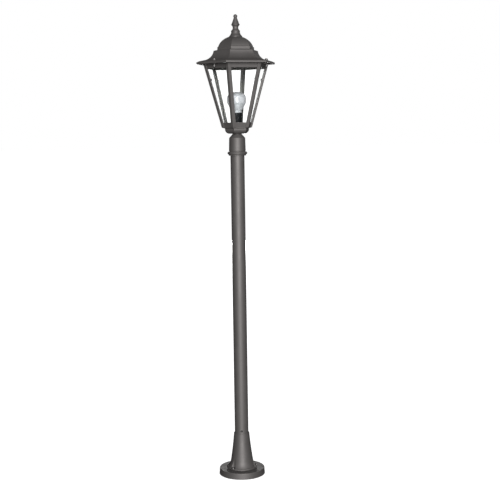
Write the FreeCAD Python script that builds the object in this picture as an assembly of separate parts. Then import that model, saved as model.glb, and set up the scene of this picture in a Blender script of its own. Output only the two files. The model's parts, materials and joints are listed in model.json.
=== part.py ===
import FreeCAD, Part
import math
import os

# Garden post lantern: a hexagonal glazed lantern with a screw-in lamp, on a round pole with a bell foot.
#
# Millimetres, +Z up. The origin is the centre of the base's underside, on the ground. The lantern's front
# face looks along -Y. An azimuth is counted from -Y towards +X, so a face is square to azimuths 0, 60 ... 300
# and a post stands on azimuths 30, 90 ... 330. A flat piece of the lantern is placed by its distance from the
# axis, square to the face, and a post by its corner radius.

Vector = FreeCAD.Vector
AXIS = Vector(0, 0, 1)
ORIGIN = Vector(0, 0, 0)

# ----------------------------------------------------------------------------------------------- clearances
THREAD_CLEARANCE = 0.05      # radial, between a screw's shank and its tapped hole
SLIP_CLEARANCE = 0.1         # radial, between pieces that slide into each other, and a screw in a plain hole
LIFT_GAP = 0.2               # between the roof or the lamp and what it rests on, so that it lifts freely
SOCKET_CLEARANCE = 0.3       # radial, between the lamp's cap and the lampholder's thread shell

# ----------------------------------------------------------------------------------------------------- base
BASE_RADIUS = 83.4
BASE_DRAFT = 1.8             # how far the side leans in from the ground to the rounded edge
BASE_HEIGHT = 22.5
BASE_EDGE_RADIUS = 3.5
BASE_RIM = 7.0               # wall of the hollow casting
BASE_TOP = 6.5               # thickness of its top
BASE_HUB_RADIUS = 19.0       # solid middle around the cable hole
ANCHOR_COUNT = 3
ANCHOR_CIRCLE = 56.0         # pitch circle diameter of the ground anchors
ANCHOR_HOLE_RADIUS = 4.5     # for M8 anchors
ANCHOR_BOSS_RADIUS = 9.5

GROMMET_HOLE_RADIUS = 9.0
GROMMET_BORE_RADIUS = 4.5
GROMMET_FLANGE = 2.5         # how far its two flanges reach past the hole
GROMMET_FLANGE_HEIGHT = 2.0

# ------------------------------------------------------------------------------------------------ foot cone
CONE_FLANGE_REACH = 14.4     # how far the flange reaches past the flare's upper end
CONE_FLANGE_HEIGHT = 6.0
CONE_FLARE_RADIUS = 40.6     # where the flange's flare has run into the cone
CONE_FLARE_HEIGHT = 28.5
CONE_FLARE_IN = 0.72         # the flare's middle point, as shares of its way in and up
CONE_FLARE_UP = 0.3
CONE_RIM_WALL = 2.8          # around the pole
CONE_HEIGHT = 130.5
CONE_WAIST = 0.9             # how far the long side bows in
CONE_WALL = 4.0
CONE_RIM_ROUND = 1.0
SOCKET_DEPTH = 60.0          # how deep the pole stands in the cone
SPIGOT_ABOVE_RIM = 25.0      # the inner spigot stands this far above the rim, inside the pole
SPIGOT_WALL = 5.0
SOCKET_WEB = 8.0

FOOT_SCREW_INSET = 7.0       # from the flange's edge to the screws' middle
FOOT_SCREW_THREAD = 3.0      # radius, M6
FOOT_SCREW_HEAD_RADIUS = 5.0
FOOT_SCREW_HEAD_HEIGHT = 3.6
FOOT_SCREW_LENGTH = 18.0
KEY_SHARE = 0.55             # corner radius of a screw's hexagon socket, as a share of its head's radius
FOOT_WASHER_RADIUS = 6.2
FOOT_WASHER_THICKNESS = 1.2
FOOT_NOTCH_RADIUS = 8.6
FOOT_SEAT = 3.4              # flange left under the screw in its notch
FOOT_BOSS_RADIUS = 8.0

# ----------------------------------------------------------------------------------------------------- pole
POLE_RADIUS = 25.0
POLE_WALL = 2.5
POLE_VISIBLE = 1012.0        # bare tube between the cone's rim and the collar's lip
POLE_SCREW_THREAD = 2.5
POLE_SCREW_HEAD_RADIUS = 4.0
POLE_SCREW_HEAD_HEIGHT = 2.2
POLE_SCREW_ABOVE_RIM = 10.0
POLE_SCREW_AZIMUTH = -16.0

# --------------------------------------------------------------------------------------------------- collar
COLLAR_LIP_WALL = 6.0        # walls around the pole, from the bottom up
COLLAR_LIP_HEIGHT = 4.0
COLLAR_BEAD_WALL = 10.2
COLLAR_BEAD_HEIGHT = 10.0
COLLAR_GROOVE_WALL = 3.6
COLLAR_GROOVE_HEIGHT = 3.0
COLLAR_LOWER_WALL = 4.8
COLLAR_UPPER_WALL = 3.4
COLLAR_BODY_HEIGHT = 46.0
COLLAR_NECK_RADIUS = 16.3    # under the tray
COLLAR_SHOULDER_HEIGHT = 13.0
COLLAR_NECK_HEIGHT = 1.5
COLLAR_SOCKET = 57.0         # how deep the pole's end sits in the collar
GRUB_THREAD = 2.5
GRUB_LENGTH = 3.8
GRUB_ABOVE_LIP = 36.0
GRUB_AZIMUTHS = (120, 240)

NIPPLE_RADIUS = 8.0
NIPPLE_BORE = 6.0
NIPPLE_IN_COLLAR = 14.0
NIPPLE_ABOVE_FLOOR = 9.0
NUT_FLATS = 22.0
NUT_HEIGHT = 6.0

# --------------------------------------------------------------------------------------------- lantern cage
SIDES = 6
TRAY_WIDTH = 38.3            # distance from the axis to the bowl's flat sides at the top
TRAY_MIDDLE_INSET = 5.3      # insets are counted in from there
TRAY_FLAT_INSET = 18.3
TRAY_MIDDLE_RISE = 5.9
TRAY_RISE = 16.5
TRAY_STEP = 0.5              # the bowl's side leans out this far below the flange
TRAY_FLANGE = 6.3            # how far the flange reaches past the bowl
TRAY_FLANGE_THICKNESS = 2.5
TRAY_FLANGE_INSET = 1.0      # the flange stays this far inside the rail's outer face
TRAY_HEIGHT = 22.0
TRAY_FLOOR = 4.5
TRAY_FLOOR_INSET = 11.8
TRAY_WALL = 2.5

POST_LEG = 11.0
POST_PROUD = 3.0             # posts stand this far outside the rails
RAIL_THICKNESS = 2.5
POST_LEAN = 0.2876           # corner radius gained per millimetre of height
POST_OVERHANG = 1.0          # posts reach this far below the bottom rail
CAGE_HEIGHT = 222.5          # from the bottom rail's underside to the top rail's upper edge
BOTTOM_RAIL_HEIGHT = 17.5
TOP_RAIL_HEIGHT = 17.5
SHELF_WIDTH = 4.2            # the bottom rail's inner shelf, which carries the panes
SHELF_THICKNESS = 2.5

PANE_THICKNESS = 3.0
PANE_GAP = 0.1               # between a pane and the flat inside of rails and posts
PANE_CORNER_GAP = 1.6        # between a pane's upright edge and the mitre line
PANE_BELOW_RAIL_TOP = 3.0
CLIP_HEIGHT = 8.0
CLIP_WING = 7.5              # width of each wing at its top
CLIP_FOOT_WING = 3.0
CLIP_THICKNESS = 1.5
CLIP_STEM = 1.6
CLIP_ABOVE_RAIL = 145.0      # from the bottom rail's upper edge to the clips' lower edge

EAR_WIDTH = 15.0
EAR_THICKNESS = 4.0
EAR_PAST_HOLE = 6.5

# ----------------------------------------------------------------------------------------------------- roof
EAVE_OVERHANG = 24.1         # from the top rail's outer face to the lip
EAVE_ABOVE_RAIL = 1.5
EAVE_LIP = 5.5
EAVE_DRIP = 3.2              # how far the lip hangs below the eave
COVE_INSET = 5.0             # from the top rail's outer face in to where the slope turns into the cove
COVE_START_RISE = 11.8       # rises are counted from the lip's lower edge
COVE_DEPTH = 25.2
COVE_TOP_RISE = 43.2
LEDGE_WIDTH = 13.5
LEDGE_RISE = 3.2
DOME_HEIGHT = 49.2           # half height of the dome's ellipse
DOME_FLAT_WIDTH = 22.0       # distance from the axis to the sides of the flat top, under the finial
DOME_STEPS = 8
ROOF_WALL = 3.0
ROOF_RIB_INSET = 0.4         # the rib on the top rail stays this far inside the rail's outer face
ROOF_RIB_THICKNESS = 3.4
ROOF_SCREW_OFFSET = 8.0      # from the top rail's outer face out to the screws' middle
ROOF_SCREW_THREAD = 2.5
ROOF_SCREW_LENGTH = 27.0
ROOF_SCREW_HEAD_RADIUS = 4.4
ROOF_SCREW_HEAD_HEIGHT = 4.6
ROOF_WASHER_RADIUS = 5.6
ROOF_WASHER_THICKNESS = 1.0
ROOF_BOSS_RADIUS = 6.4
ROOF_BOSS_ABOVE = 1.6        # the boss stands this far above the sloping roof at the screw

# --------------------------------------------------------------------------------------------------- finial
FINIAL_FOOT_RADIUS = 21.2
FINIAL_FOOT_HEIGHT = 4.6
FINIAL_NECK_RADIUS = 15.2    # heights are counted from the finial's foot
FINIAL_NECK_HEIGHT = 17.1
FINIAL_BEAD_RADIUS = 16.0
FINIAL_BEAD_HEIGHT = 5.6
BEAD_STEP = 0.8              # the bead's upper end is this much narrower than its lower end
FINIAL_SKIRT_BOW = 0.6
FINIAL_CONE_BOW = 0.6
FINIAL_WAIST_RADIUS = 9.8
FINIAL_RIM_RADIUS = 15.1
FINIAL_RIM_HEIGHT = 41.5
FINIAL_RIM_BAND = 1.4
FINIAL_TIP_RADIUS = 5.4
FINIAL_TIP_HEIGHT = 66.8
FINIAL_BALL_RADIUS = 7.0
STUD_RADIUS = 4.0            # M8
STUD_IN_FINIAL = 22.0
STUD_BELOW_ROOF = 11.0
STUD_NUT_FLATS = 13.0
STUD_NUT_HEIGHT = 6.5

# ----------------------------------------------------------------------------------------------- lampholder
HOLDER_RADIUS = 18.4
HOLDER_RIM_RADIUS = 17.7
HOLDER_WALL = 3.4
HOLDER_BASE_HEIGHT = 15.0
HOLDER_SHELL_HEIGHT = 53.5
HOLDER_FLOOR_RISE = 16.0     # underside of the contact floor above the shell's lower edge
HOLDER_FLOOR = 5.0
HOLDER_EAR_REACH = 25.0
HOLDER_EAR_WIDTH = 9.0
HOLDER_EAR_THICKNESS = 3.0
HOLDER_SCREW_CIRCLE = 44.0
HOLDER_SCREW_THREAD = 1.5
HOLDER_SCREW_HEAD_RADIUS = 2.8
HOLDER_SCREW_HEAD_HEIGHT = 2.0
HOLDER_SCREW_DEPTH = 3.6     # how far the screws and the earth screw reach into the tray's floor
INSERT_WALL = 0.6
INSERT_LENGTH = 28.0
CONTACT_RADIUS = 3.4
TERMINAL_SIZE = (6.0, 5.0, 7.0)
TERMINAL_SPREAD = 7.0
EARTH_AZIMUTH = 90

# ----------------------------------------------------------------------------------------------------- lamp
CAP_RADIUS = 13.2            # screw cap of 27 mm nominal diameter, drawn plain
CAP_LENGTH = 24.0
CAP_WALL = 0.4
INSULATOR_HEIGHT = 3.6
INSULATOR_TOP_RADIUS = 11.4
INSULATOR_FOOT_RADIUS = 5.8
TIP_RADIUS = 4.6
TIP_HEIGHT = 1.4
BULB_NECK_RADIUS = 17.4
BULB_NECK_HEIGHT = 8.0
BULB_RADIUS = 33.0
BULB_SEAM_HEIGHT = 35.0      # housing's top edge above its foot
BULB_SIDE_HEIGHT = 54.0      # the greatest width ends here and the crown begins
BULB_HEIGHT = 73.3
FLARE_OUT = 0.5              # the flare's middle point, as shares of its way out and up
FLARE_UP = 0.45
CROWN_STEPS = 8
BULB_LIP = 3.5               # the housing's inner lip, which carries the board
BULB_WALL = 1.4
BOARD_THICKNESS = 1.6
CHIP_COUNT = 10
CHIP_SIZE = 3.0
CHIP_HEIGHT = 0.8
CHIP_CIRCLE = 38.0
DRIVER_WIDTH = 20.0
DRIVER_THICKNESS = 1.6
DRIVER_HEIGHT = 26.0

# ----------------------------------------------------------------------------------------------- worked out
CONE_RIM_RADIUS = POLE_RADIUS + SLIP_CLEARANCE + CONE_RIM_WALL
CONE_FLANGE_RADIUS = CONE_FLARE_RADIUS + CONE_FLANGE_REACH
FOOT_SCREW_CIRCLE = 2 * (CONE_FLANGE_RADIUS - FOOT_SCREW_INSET)
CONE_RIM_Z = BASE_HEIGHT + CONE_HEIGHT
SOCKET_Z = CONE_RIM_Z - SOCKET_DEPTH
COLLAR_Z = CONE_RIM_Z + POLE_VISIBLE
POLE_TOP_Z = COLLAR_Z + COLLAR_SOCKET
BEAD_Z = COLLAR_Z + COLLAR_LIP_HEIGHT
GROOVE_Z = BEAD_Z + COLLAR_BEAD_HEIGHT
COLLAR_BODY_Z = GROOVE_Z + COLLAR_GROOVE_HEIGHT
COLLAR_SHOULDER_Z = COLLAR_BODY_Z + COLLAR_BODY_HEIGHT
COLLAR_NECK_Z = COLLAR_SHOULDER_Z + COLLAR_SHOULDER_HEIGHT
TRAY_Z = COLLAR_NECK_Z + COLLAR_NECK_HEIGHT
TRAY_FLOOR_Z = TRAY_Z + TRAY_FLOOR
CAGE_Z = TRAY_Z + TRAY_HEIGHT
CAGE_TOP_Z = CAGE_Z + CAGE_HEIGHT
BOTTOM_RAIL_TOP_Z = CAGE_Z + BOTTOM_RAIL_HEIGHT
TOP_RAIL_Z = CAGE_TOP_Z - TOP_RAIL_HEIGHT
SHELF_Z = CAGE_Z + SHELF_THICKNESS

HALF_CORNER = math.pi / SIDES
FACE_COSINE = math.cos(math.atan(POST_LEAN * math.cos(HALF_CORNER)))
INNER_DEPTH = POST_PROUD + RAIL_THICKNESS          # depths are counted square in from the posts' outer faces
GLASS_DEPTH = INNER_DEPTH + PANE_GAP
CAGE_FOOT_WIDTH = TRAY_WIDTH + TRAY_FLANGE + TRAY_FLANGE_INSET
FACE_AZIMUTHS = [360 / SIDES * n for n in range(SIDES)]
POST_AZIMUTHS = [360 / SIDES * (n + 0.5) for n in range(SIDES)]
SCREW_AZIMUTHS = FACE_AZIMUTHS[1::2]
ANCHOR_AZIMUTHS = [360 / ANCHOR_COUNT * n for n in range(ANCHOR_COUNT)]
HOLDER_SCREW_AZIMUTHS = [0, 180]

HOLDER_Z = TRAY_FLOOR_Z + HOLDER_BASE_HEIGHT
HOLDER_RIM_Z = HOLDER_Z + HOLDER_SHELL_HEIGHT
HOLDER_FLOOR_Z = HOLDER_Z + HOLDER_FLOOR_RISE + HOLDER_FLOOR
INSERT_BORE = CAP_RADIUS + SOCKET_CLEARANCE
BULB_Z = HOLDER_RIM_Z + LIFT_GAP
CAP_FOOT_Z = BULB_Z - CAP_LENGTH
TIP_Z = CAP_FOOT_Z - INSULATOR_HEIGHT - TIP_HEIGHT
SEAM_Z = BULB_Z + BULB_SEAM_HEIGHT


def corner_radius(z, depth):
    """Corner radius of the leaning hexagon at a height, the given depth inside the posts' outer faces."""
    return face_distance(z, depth) / math.cos(HALF_CORNER)


def face_distance(z, depth):
    """Distance from the axis to the leaning hexagon's flat side."""
    foot = CAGE_FOOT_WIDTH + POST_PROUD / FACE_COSINE
    return foot + POST_LEAN * math.cos(HALF_CORNER) * (z - CAGE_Z) - depth / FACE_COSINE


CAGE_TOP_WIDTH = face_distance(CAGE_TOP_Z, POST_PROUD)
EAVE_Z = CAGE_TOP_Z + EAVE_ABOVE_RAIL
EAVE_WIDTH = CAGE_TOP_WIDTH + EAVE_OVERHANG
COVE_START_WIDTH = CAGE_TOP_WIDTH - COVE_INSET
COVE_TOP_WIDTH = COVE_START_WIDTH - COVE_DEPTH
DOME_WIDTH = COVE_TOP_WIDTH - LEDGE_WIDTH
LEDGE_Z = EAVE_Z + COVE_TOP_RISE + LEDGE_RISE
DOME_FLAT_ANGLE = math.acos(DOME_FLAT_WIDTH / DOME_WIDTH)
DOME_FLAT_Z = LEDGE_Z + DOME_HEIGHT * math.sin(DOME_FLAT_ANGLE)
ROOF_SCREW_CIRCLE = 2 * (CAGE_TOP_WIDTH + ROOF_SCREW_OFFSET)


# -------------------------------------------------------------------------------------------- drawing tools
class Outline:
    """A closed outline in the XZ plane: x is the distance from the axis and z the height."""

    def __init__(self, x, z):
        self.start = Vector(x, 0, z)
        self.here = self.start
        self.edges = []

    def to(self, x, z):
        """A straight edge."""
        end = Vector(x, 0, z)
        self.edges.append(Part.makeLine(self.here, end))
        self.here = end
        return self

    def through(self, middle, end):
        """A round edge that passes through a middle point."""
        finish = Vector(end[0], 0, end[1])
        self.edges.append(Part.Arc(self.here, Vector(middle[0], 0, middle[1]), finish).toShape())
        self.here = finish
        return self

    def smooth(self, points):
        """A smooth curve through the given points, from here."""
        curve = Part.BSplineCurve()
        curve.interpolate([self.here] + [Vector(x, 0, z) for x, z in points])
        self.edges.append(curve.toShape())
        self.here = Vector(points[-1][0], 0, points[-1][1])
        return self

    def face(self):
        if self.here.distanceToPoint(self.start) > 1e-7:
            self.edges.append(Part.makeLine(self.here, self.start))
        return Part.Face(Part.Wire(self.edges))

    def turned(self):
        """The outline revolved about the axis."""
        return self.face().revolve(ORIGIN, AXIS, 360)

    def mitred(self):
        """The outline run around the hexagon, one straight length per side, mitred at the corners."""
        reach = 2 * EAVE_WIDTH
        width = reach * math.tan(HALF_CORNER)
        bar = self.face().translated(Vector(0, -width, 0)).extrude(Vector(0, 2 * width, 0))
        box = self.face().BoundBox
        wedge = polygon([(0, 0), (reach, -width), (reach, width)], box.ZMin - 1)
        wedge = wedge.extrude(AXIS * (box.ZLength + 2))
        side = bar.common(wedge)
        return joined([at_azimuth(side, azimuth) for azimuth in FACE_AZIMUTHS])


def polygon(points, z):
    """A flat face at height z."""
    corners = [Vector(x, y, z) for x, y in points]
    return Part.Face(Part.makePolygon(corners + corners[:1]))


def at_azimuth(shape, azimuth):
    """The shape, drawn along +X, turned to an azimuth."""
    return shape.rotated(ORIGIN, AXIS, azimuth - 90)


def joined(shapes):
    whole = shapes[0]
    if len(shapes) > 1:
        whole = shapes[0].multiFuse(shapes[1:]).removeSplitter()
    return whole.Solids[0] if len(whole.Solids) == 1 else whole


def cylinder(radius, z, height, x=0.0, y=0.0):
    return Part.makeCylinder(radius, height, Vector(x, y, z), AXIS)


def tube(radius, bore, z, height):
    return cylinder(radius, z, height).cut(cylinder(bore, z, height))


def around(shape, azimuths):
    """Copies of a shape drawn along +X, as separate solids."""
    return [at_azimuth(shape, azimuth) for azimuth in azimuths]


def hexagon(corner, z, x=0.0):
    """A flat hexagon by its corner radius."""
    turns = [2 * HALF_CORNER * n for n in range(SIDES)]
    return polygon([(x + corner * math.cos(turn), corner * math.sin(turn)) for turn in turns], z)


def hexagon_nut(flats, bore, z, height):
    body = hexagon(flats / 2 / math.cos(HALF_CORNER), z).extrude(AXIS * height)
    return body.cut(cylinder(bore, z, height))


def write(node, shapes):
    """One STEP file per node; several solids are kept apart as a group."""
    shapes = shapes if isinstance(shapes, list) else [shapes]
    solids = [solid for shape in shapes for solid in shape.Solids]
    whole = solids[0] if len(solids) == 1 else Part.makeCompound(solids)
    if not whole.isValid():
        raise ValueError(f"{node} is not a valid solid")
    whole.exportStep(f"parts/{node}.step")


# -------------------------------------------------------------------------------------------- base and foot
def foot_screw_seat():
    return BASE_HEIGHT + FOOT_SEAT


def cone_radius(z):
    """Outer radius of the cone's long side at a height, on the straight line between flare and rim."""
    foot = BASE_HEIGHT + CONE_FLARE_HEIGHT
    share = (z - foot) / (CONE_RIM_Z - foot)
    return CONE_FLARE_RADIUS + (CONE_RIM_RADIUS - CONE_FLARE_RADIUS) * share


def base_plate():
    top_radius = BASE_RADIUS - BASE_DRAFT
    edge = BASE_EDGE_RADIUS
    bend = edge * (1 - math.sqrt(0.5))
    disc = (
        Outline(0, 0)
        .to(BASE_RADIUS, 0)
        .to(top_radius, BASE_HEIGHT - edge)
        .through((top_radius - bend, BASE_HEIGHT - bend), (top_radius - edge, BASE_HEIGHT))
        .to(0, BASE_HEIGHT)
        .turned()
    )
    recess = tube(BASE_RADIUS - BASE_RIM, BASE_HUB_RADIUS, 0, BASE_HEIGHT - BASE_TOP)
    bosses = around(cylinder(ANCHOR_BOSS_RADIUS, 0, BASE_HEIGHT, ANCHOR_CIRCLE / 2), ANCHOR_AZIMUTHS)
    bosses += around(cylinder(FOOT_BOSS_RADIUS, 0, BASE_HEIGHT, FOOT_SCREW_CIRCLE / 2), SCREW_AZIMUTHS)
    plate = disc.cut(recess.cut(bosses))
    holes = around(cylinder(ANCHOR_HOLE_RADIUS, 0, BASE_HEIGHT, ANCHOR_CIRCLE / 2), ANCHOR_AZIMUTHS)
    screw_foot = foot_screw_seat() + FOOT_WASHER_THICKNESS - FOOT_SCREW_LENGTH
    thread = FOOT_SCREW_THREAD + THREAD_CLEARANCE
    depth = BASE_HEIGHT - screw_foot + 1
    holes += around(cylinder(thread, BASE_HEIGHT - depth, depth, FOOT_SCREW_CIRCLE / 2), SCREW_AZIMUTHS)
    holes.append(cylinder(GROMMET_HOLE_RADIUS, 0, BASE_HEIGHT))
    counterbore = BASE_HEIGHT - BASE_TOP
    holes.append(cylinder(GROMMET_HOLE_RADIUS + GROMMET_FLANGE + 1, 0, counterbore))
    return plate.cut(holes).removeSplitter()


def cable_grommet():
    foot = BASE_HEIGHT - BASE_TOP
    flange = GROMMET_HOLE_RADIUS + GROMMET_FLANGE
    body = [
        cylinder(GROMMET_HOLE_RADIUS, foot, BASE_TOP),
        cylinder(flange, foot - GROMMET_FLANGE_HEIGHT, GROMMET_FLANGE_HEIGHT),
        cylinder(flange, BASE_HEIGHT, GROMMET_FLANGE_HEIGHT),
    ]
    height = BASE_TOP + 2 * GROMMET_FLANGE_HEIGHT
    return joined(body).cut(cylinder(GROMMET_BORE_RADIUS, foot - GROMMET_FLANGE_HEIGHT, height))


def foot_cone():
    flange_z = BASE_HEIGHT + CONE_FLANGE_HEIGHT
    flare_z = BASE_HEIGHT + CONE_FLARE_HEIGHT
    middle_z = (flare_z + CONE_RIM_Z) / 2
    flare_rise = CONE_FLARE_HEIGHT - CONE_FLANGE_HEIGHT
    flare_middle = (
        CONE_FLANGE_RADIUS - CONE_FLARE_IN * CONE_FLANGE_REACH,
        flange_z + CONE_FLARE_UP * flare_rise,
    )
    waist = (cone_radius(middle_z) - CONE_WAIST, middle_z)
    ceiling_z = SOCKET_Z - SOCKET_WEB
    socket = POLE_RADIUS + SLIP_CLEARANCE
    spigot = POLE_RADIUS - POLE_WALL - SLIP_CLEARANCE
    spigot_z = CONE_RIM_Z + SPIGOT_ABOVE_RIM
    cone = (
        Outline(CONE_FLARE_RADIUS - CONE_WALL, BASE_HEIGHT)
        .to(CONE_FLANGE_RADIUS, BASE_HEIGHT)
        .to(CONE_FLANGE_RADIUS, flange_z)
        .through(flare_middle, (CONE_FLARE_RADIUS, flare_z))
        .through(waist, (CONE_RIM_RADIUS, CONE_RIM_Z - CONE_RIM_ROUND))
        .to(CONE_RIM_RADIUS - CONE_RIM_ROUND, CONE_RIM_Z)
        .to(socket, CONE_RIM_Z)
        .to(socket, SOCKET_Z)
        .to(spigot, SOCKET_Z)
        .to(spigot, spigot_z)
        .to(spigot - SPIGOT_WALL, spigot_z)
        .to(spigot - SPIGOT_WALL, ceiling_z)
        .to(cone_radius(ceiling_z) - CONE_WALL - CONE_WAIST, ceiling_z)
        .to(CONE_FLARE_RADIUS - CONE_WALL, flare_z)
        .turned()
    )
    circle = FOOT_SCREW_CIRCLE / 2
    cuts = around(cylinder(FOOT_NOTCH_RADIUS, foot_screw_seat(), CONE_HEIGHT, circle), SCREW_AZIMUTHS)
    slot = FOOT_SCREW_THREAD + SLIP_CLEARANCE
    cuts += around(cylinder(slot, BASE_HEIGHT, FOOT_SEAT, circle), SCREW_AZIMUTHS)
    thread = POLE_SCREW_THREAD + THREAD_CLEARANCE
    cuts.append(radial_rod(thread, 0, POLE_RADIUS, pole_screw_z(), POLE_SCREW_AZIMUTH))
    return cone.cut(cuts)


def pole_screw_z():
    return CONE_RIM_Z + POLE_SCREW_ABOVE_RIM


def radial_rod(radius, inner, outer, z, azimuth):
    """A level rod that points away from the axis."""
    rod = Part.makeCylinder(radius, outer - inner, Vector(inner, 0, z), Vector(1, 0, 0))
    return at_azimuth(rod, azimuth)


def foot_screws():
    seat = foot_screw_seat() + FOOT_WASHER_THICKNESS
    circle = FOOT_SCREW_CIRCLE / 2
    shank = cylinder(FOOT_SCREW_THREAD, seat - FOOT_SCREW_LENGTH, FOOT_SCREW_LENGTH, circle)
    head = cylinder(FOOT_SCREW_HEAD_RADIUS, seat, FOOT_SCREW_HEAD_HEIGHT, circle)
    key = hexagon_key(FOOT_SCREW_HEAD_RADIUS, seat, FOOT_SCREW_HEAD_HEIGHT, circle)
    return around(joined([shank, head]).cut(key), SCREW_AZIMUTHS)


def hexagon_key(head_radius, seat, head_height, x):
    """The hexagon socket in a screw's head."""
    return hexagon(head_radius * KEY_SHARE, seat + head_height / 2, x).extrude(AXIS * head_height)


def washers(seat, outer, hole, thickness, circle, azimuths):
    ring = cylinder(outer, seat, thickness, circle / 2).cut(cylinder(hole, seat, thickness, circle / 2))
    return around(ring, azimuths)


def foot_washers():
    hole = FOOT_SCREW_THREAD + SLIP_CLEARANCE
    return washers(
        foot_screw_seat(), FOOT_WASHER_RADIUS, hole, FOOT_WASHER_THICKNESS, FOOT_SCREW_CIRCLE, SCREW_AZIMUTHS
    )


# ------------------------------------------------------------------------------------------ pole and collar
def pole_tube():
    shape = tube(POLE_RADIUS, POLE_RADIUS - POLE_WALL, SOCKET_Z, POLE_TOP_Z - SOCKET_Z)
    radius = POLE_SCREW_THREAD + SLIP_CLEARANCE
    hole = radial_rod(radius, 0, 2 * POLE_RADIUS, pole_screw_z(), POLE_SCREW_AZIMUTH)
    return shape.cut(hole)


def pole_screw():
    foot = POLE_RADIUS - POLE_WALL - SLIP_CLEARANCE - SPIGOT_WALL
    head = POLE_RADIUS + POLE_SCREW_HEAD_HEIGHT
    shank = radial_rod(POLE_SCREW_THREAD, foot, POLE_RADIUS, pole_screw_z(), POLE_SCREW_AZIMUTH)
    cap = radial_rod(POLE_SCREW_HEAD_RADIUS, POLE_RADIUS, head, pole_screw_z(), POLE_SCREW_AZIMUTH)
    return joined([shank, cap])


def collar():
    bead_middle = BEAD_Z + COLLAR_BEAD_HEIGHT / 2
    bore = POLE_RADIUS + SLIP_CLEARANCE
    lip = POLE_RADIUS + COLLAR_LIP_WALL
    groove = POLE_RADIUS + COLLAR_GROOVE_WALL
    body = (
        Outline(bore, COLLAR_Z)
        .to(lip, COLLAR_Z)
        .to(lip, BEAD_Z)
        .through((POLE_RADIUS + COLLAR_BEAD_WALL, bead_middle), (lip, GROOVE_Z))
        .to(groove, GROOVE_Z)
        .to(groove, COLLAR_BODY_Z)
        .to(POLE_RADIUS + COLLAR_LOWER_WALL, COLLAR_BODY_Z)
        .to(POLE_RADIUS + COLLAR_UPPER_WALL, COLLAR_SHOULDER_Z)
        .to(COLLAR_NECK_RADIUS, COLLAR_NECK_Z)
        .to(COLLAR_NECK_RADIUS, TRAY_Z)
        .to(NIPPLE_RADIUS + THREAD_CLEARANCE, TRAY_Z)
        .to(NIPPLE_RADIUS + THREAD_CLEARANCE, POLE_TOP_Z)
        .to(bore, POLE_TOP_Z)
        .turned()
    )
    reach = 2 * lip
    threads = [radial_rod(GRUB_THREAD + THREAD_CLEARANCE, 0, reach, grub_z(), a) for a in GRUB_AZIMUTHS]
    return body.cut(threads)


def grub_z():
    return COLLAR_Z + GRUB_ABOVE_LIP


def collar_grub_screws():
    end = POLE_RADIUS + GRUB_LENGTH
    return [radial_rod(GRUB_THREAD, POLE_RADIUS, end, grub_z(), azimuth) for azimuth in GRUB_AZIMUTHS]


def nipple():
    foot = TRAY_Z - NIPPLE_IN_COLLAR
    return tube(NIPPLE_RADIUS, NIPPLE_BORE, foot, TRAY_FLOOR_Z + NIPPLE_ABOVE_FLOOR - foot)


def nipple_nut():
    return hexagon_nut(NUT_FLATS, NIPPLE_RADIUS + THREAD_CLEARANCE, TRAY_FLOOR_Z, NUT_HEIGHT)


# --------------------------------------------------------------------------------------------- lantern cage
def ruled(lower, lower_z, upper, upper_z):
    """A solid between two outlines of as many corners."""
    wires = [polygon(points, z).OuterWire for points, z in ((lower, lower_z), (upper, upper_z))]
    return Part.makeLoft(wires, True, True)


def angle_section(z, outer, inner, leg_end):
    """Section through an angle in the hexagon's corner, between two depths, with its corner on +X."""
    cosine, sine = math.cos(HALF_CORNER), math.sin(HALF_CORNER)
    legs = []
    for depth in (outer, inner):
        away = face_distance(z, depth)
        legs.append((away * cosine + leg_end * sine, away * sine - leg_end * cosine))
    mirrored = [(x, -y) for x, y in reversed(legs)]
    return [(corner_radius(z, outer), 0)] + legs + [(corner_radius(z, inner), 0)] + mirrored


def half_side(z, depth):
    return face_distance(z, depth) * math.tan(HALF_CORNER)


def post():
    """A post's angle: its legs run over both rails, and thicken inwards between them to the rails' inside."""
    foot = CAGE_Z - POST_OVERHANG
    spans = ((0, POST_PROUD, foot, CAGE_TOP_Z), (POST_PROUD, INNER_DEPTH, BOTTOM_RAIL_TOP_Z, TOP_RAIL_Z))
    layers = []
    for outer, inner, low, high in spans:
        lower, upper = [angle_section(z, outer, inner, half_side(z, 0) - POST_LEG) for z in (low, high)]
        layers.append(ruled(lower, low, upper, high))
    return joined(layers)


def tray():
    flange_z = CAGE_Z - TRAY_FLANGE_THICKNESS
    middle_z = TRAY_Z + TRAY_MIDDLE_RISE
    side_z = TRAY_Z + TRAY_RISE
    flange = TRAY_WIDTH + TRAY_FLANGE
    middle = TRAY_WIDTH - TRAY_MIDDLE_INSET
    inner_middle = (middle - 0.6 * TRAY_WALL, middle_z + 0.8 * TRAY_WALL)
    bowl = (
        Outline(0, TRAY_Z)
        .to(TRAY_WIDTH - TRAY_FLAT_INSET, TRAY_Z)
        .through((middle, middle_z), (TRAY_WIDTH, side_z))
        .to(TRAY_WIDTH + TRAY_STEP, flange_z)
        .to(flange, flange_z)
        .to(flange, CAGE_Z)
        .to(TRAY_WIDTH - TRAY_WALL, CAGE_Z)
        .to(TRAY_WIDTH - TRAY_WALL, side_z)
        .through(inner_middle, (TRAY_WIDTH - TRAY_FLOOR_INSET, TRAY_FLOOR_Z))
        .to(0, TRAY_FLOOR_Z)
        .mitred()
    )
    holes = [cylinder(NIPPLE_RADIUS + SLIP_CLEARANCE, TRAY_Z, TRAY_FLOOR)]
    thread = HOLDER_SCREW_THREAD + THREAD_CLEARANCE
    blind = cylinder(thread, TRAY_FLOOR_Z - HOLDER_SCREW_DEPTH, HOLDER_SCREW_DEPTH, HOLDER_SCREW_CIRCLE / 2)
    holes += around(blind, HOLDER_SCREW_AZIMUTHS + [EARTH_AZIMUTH])
    return bowl.cut(holes)


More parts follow.
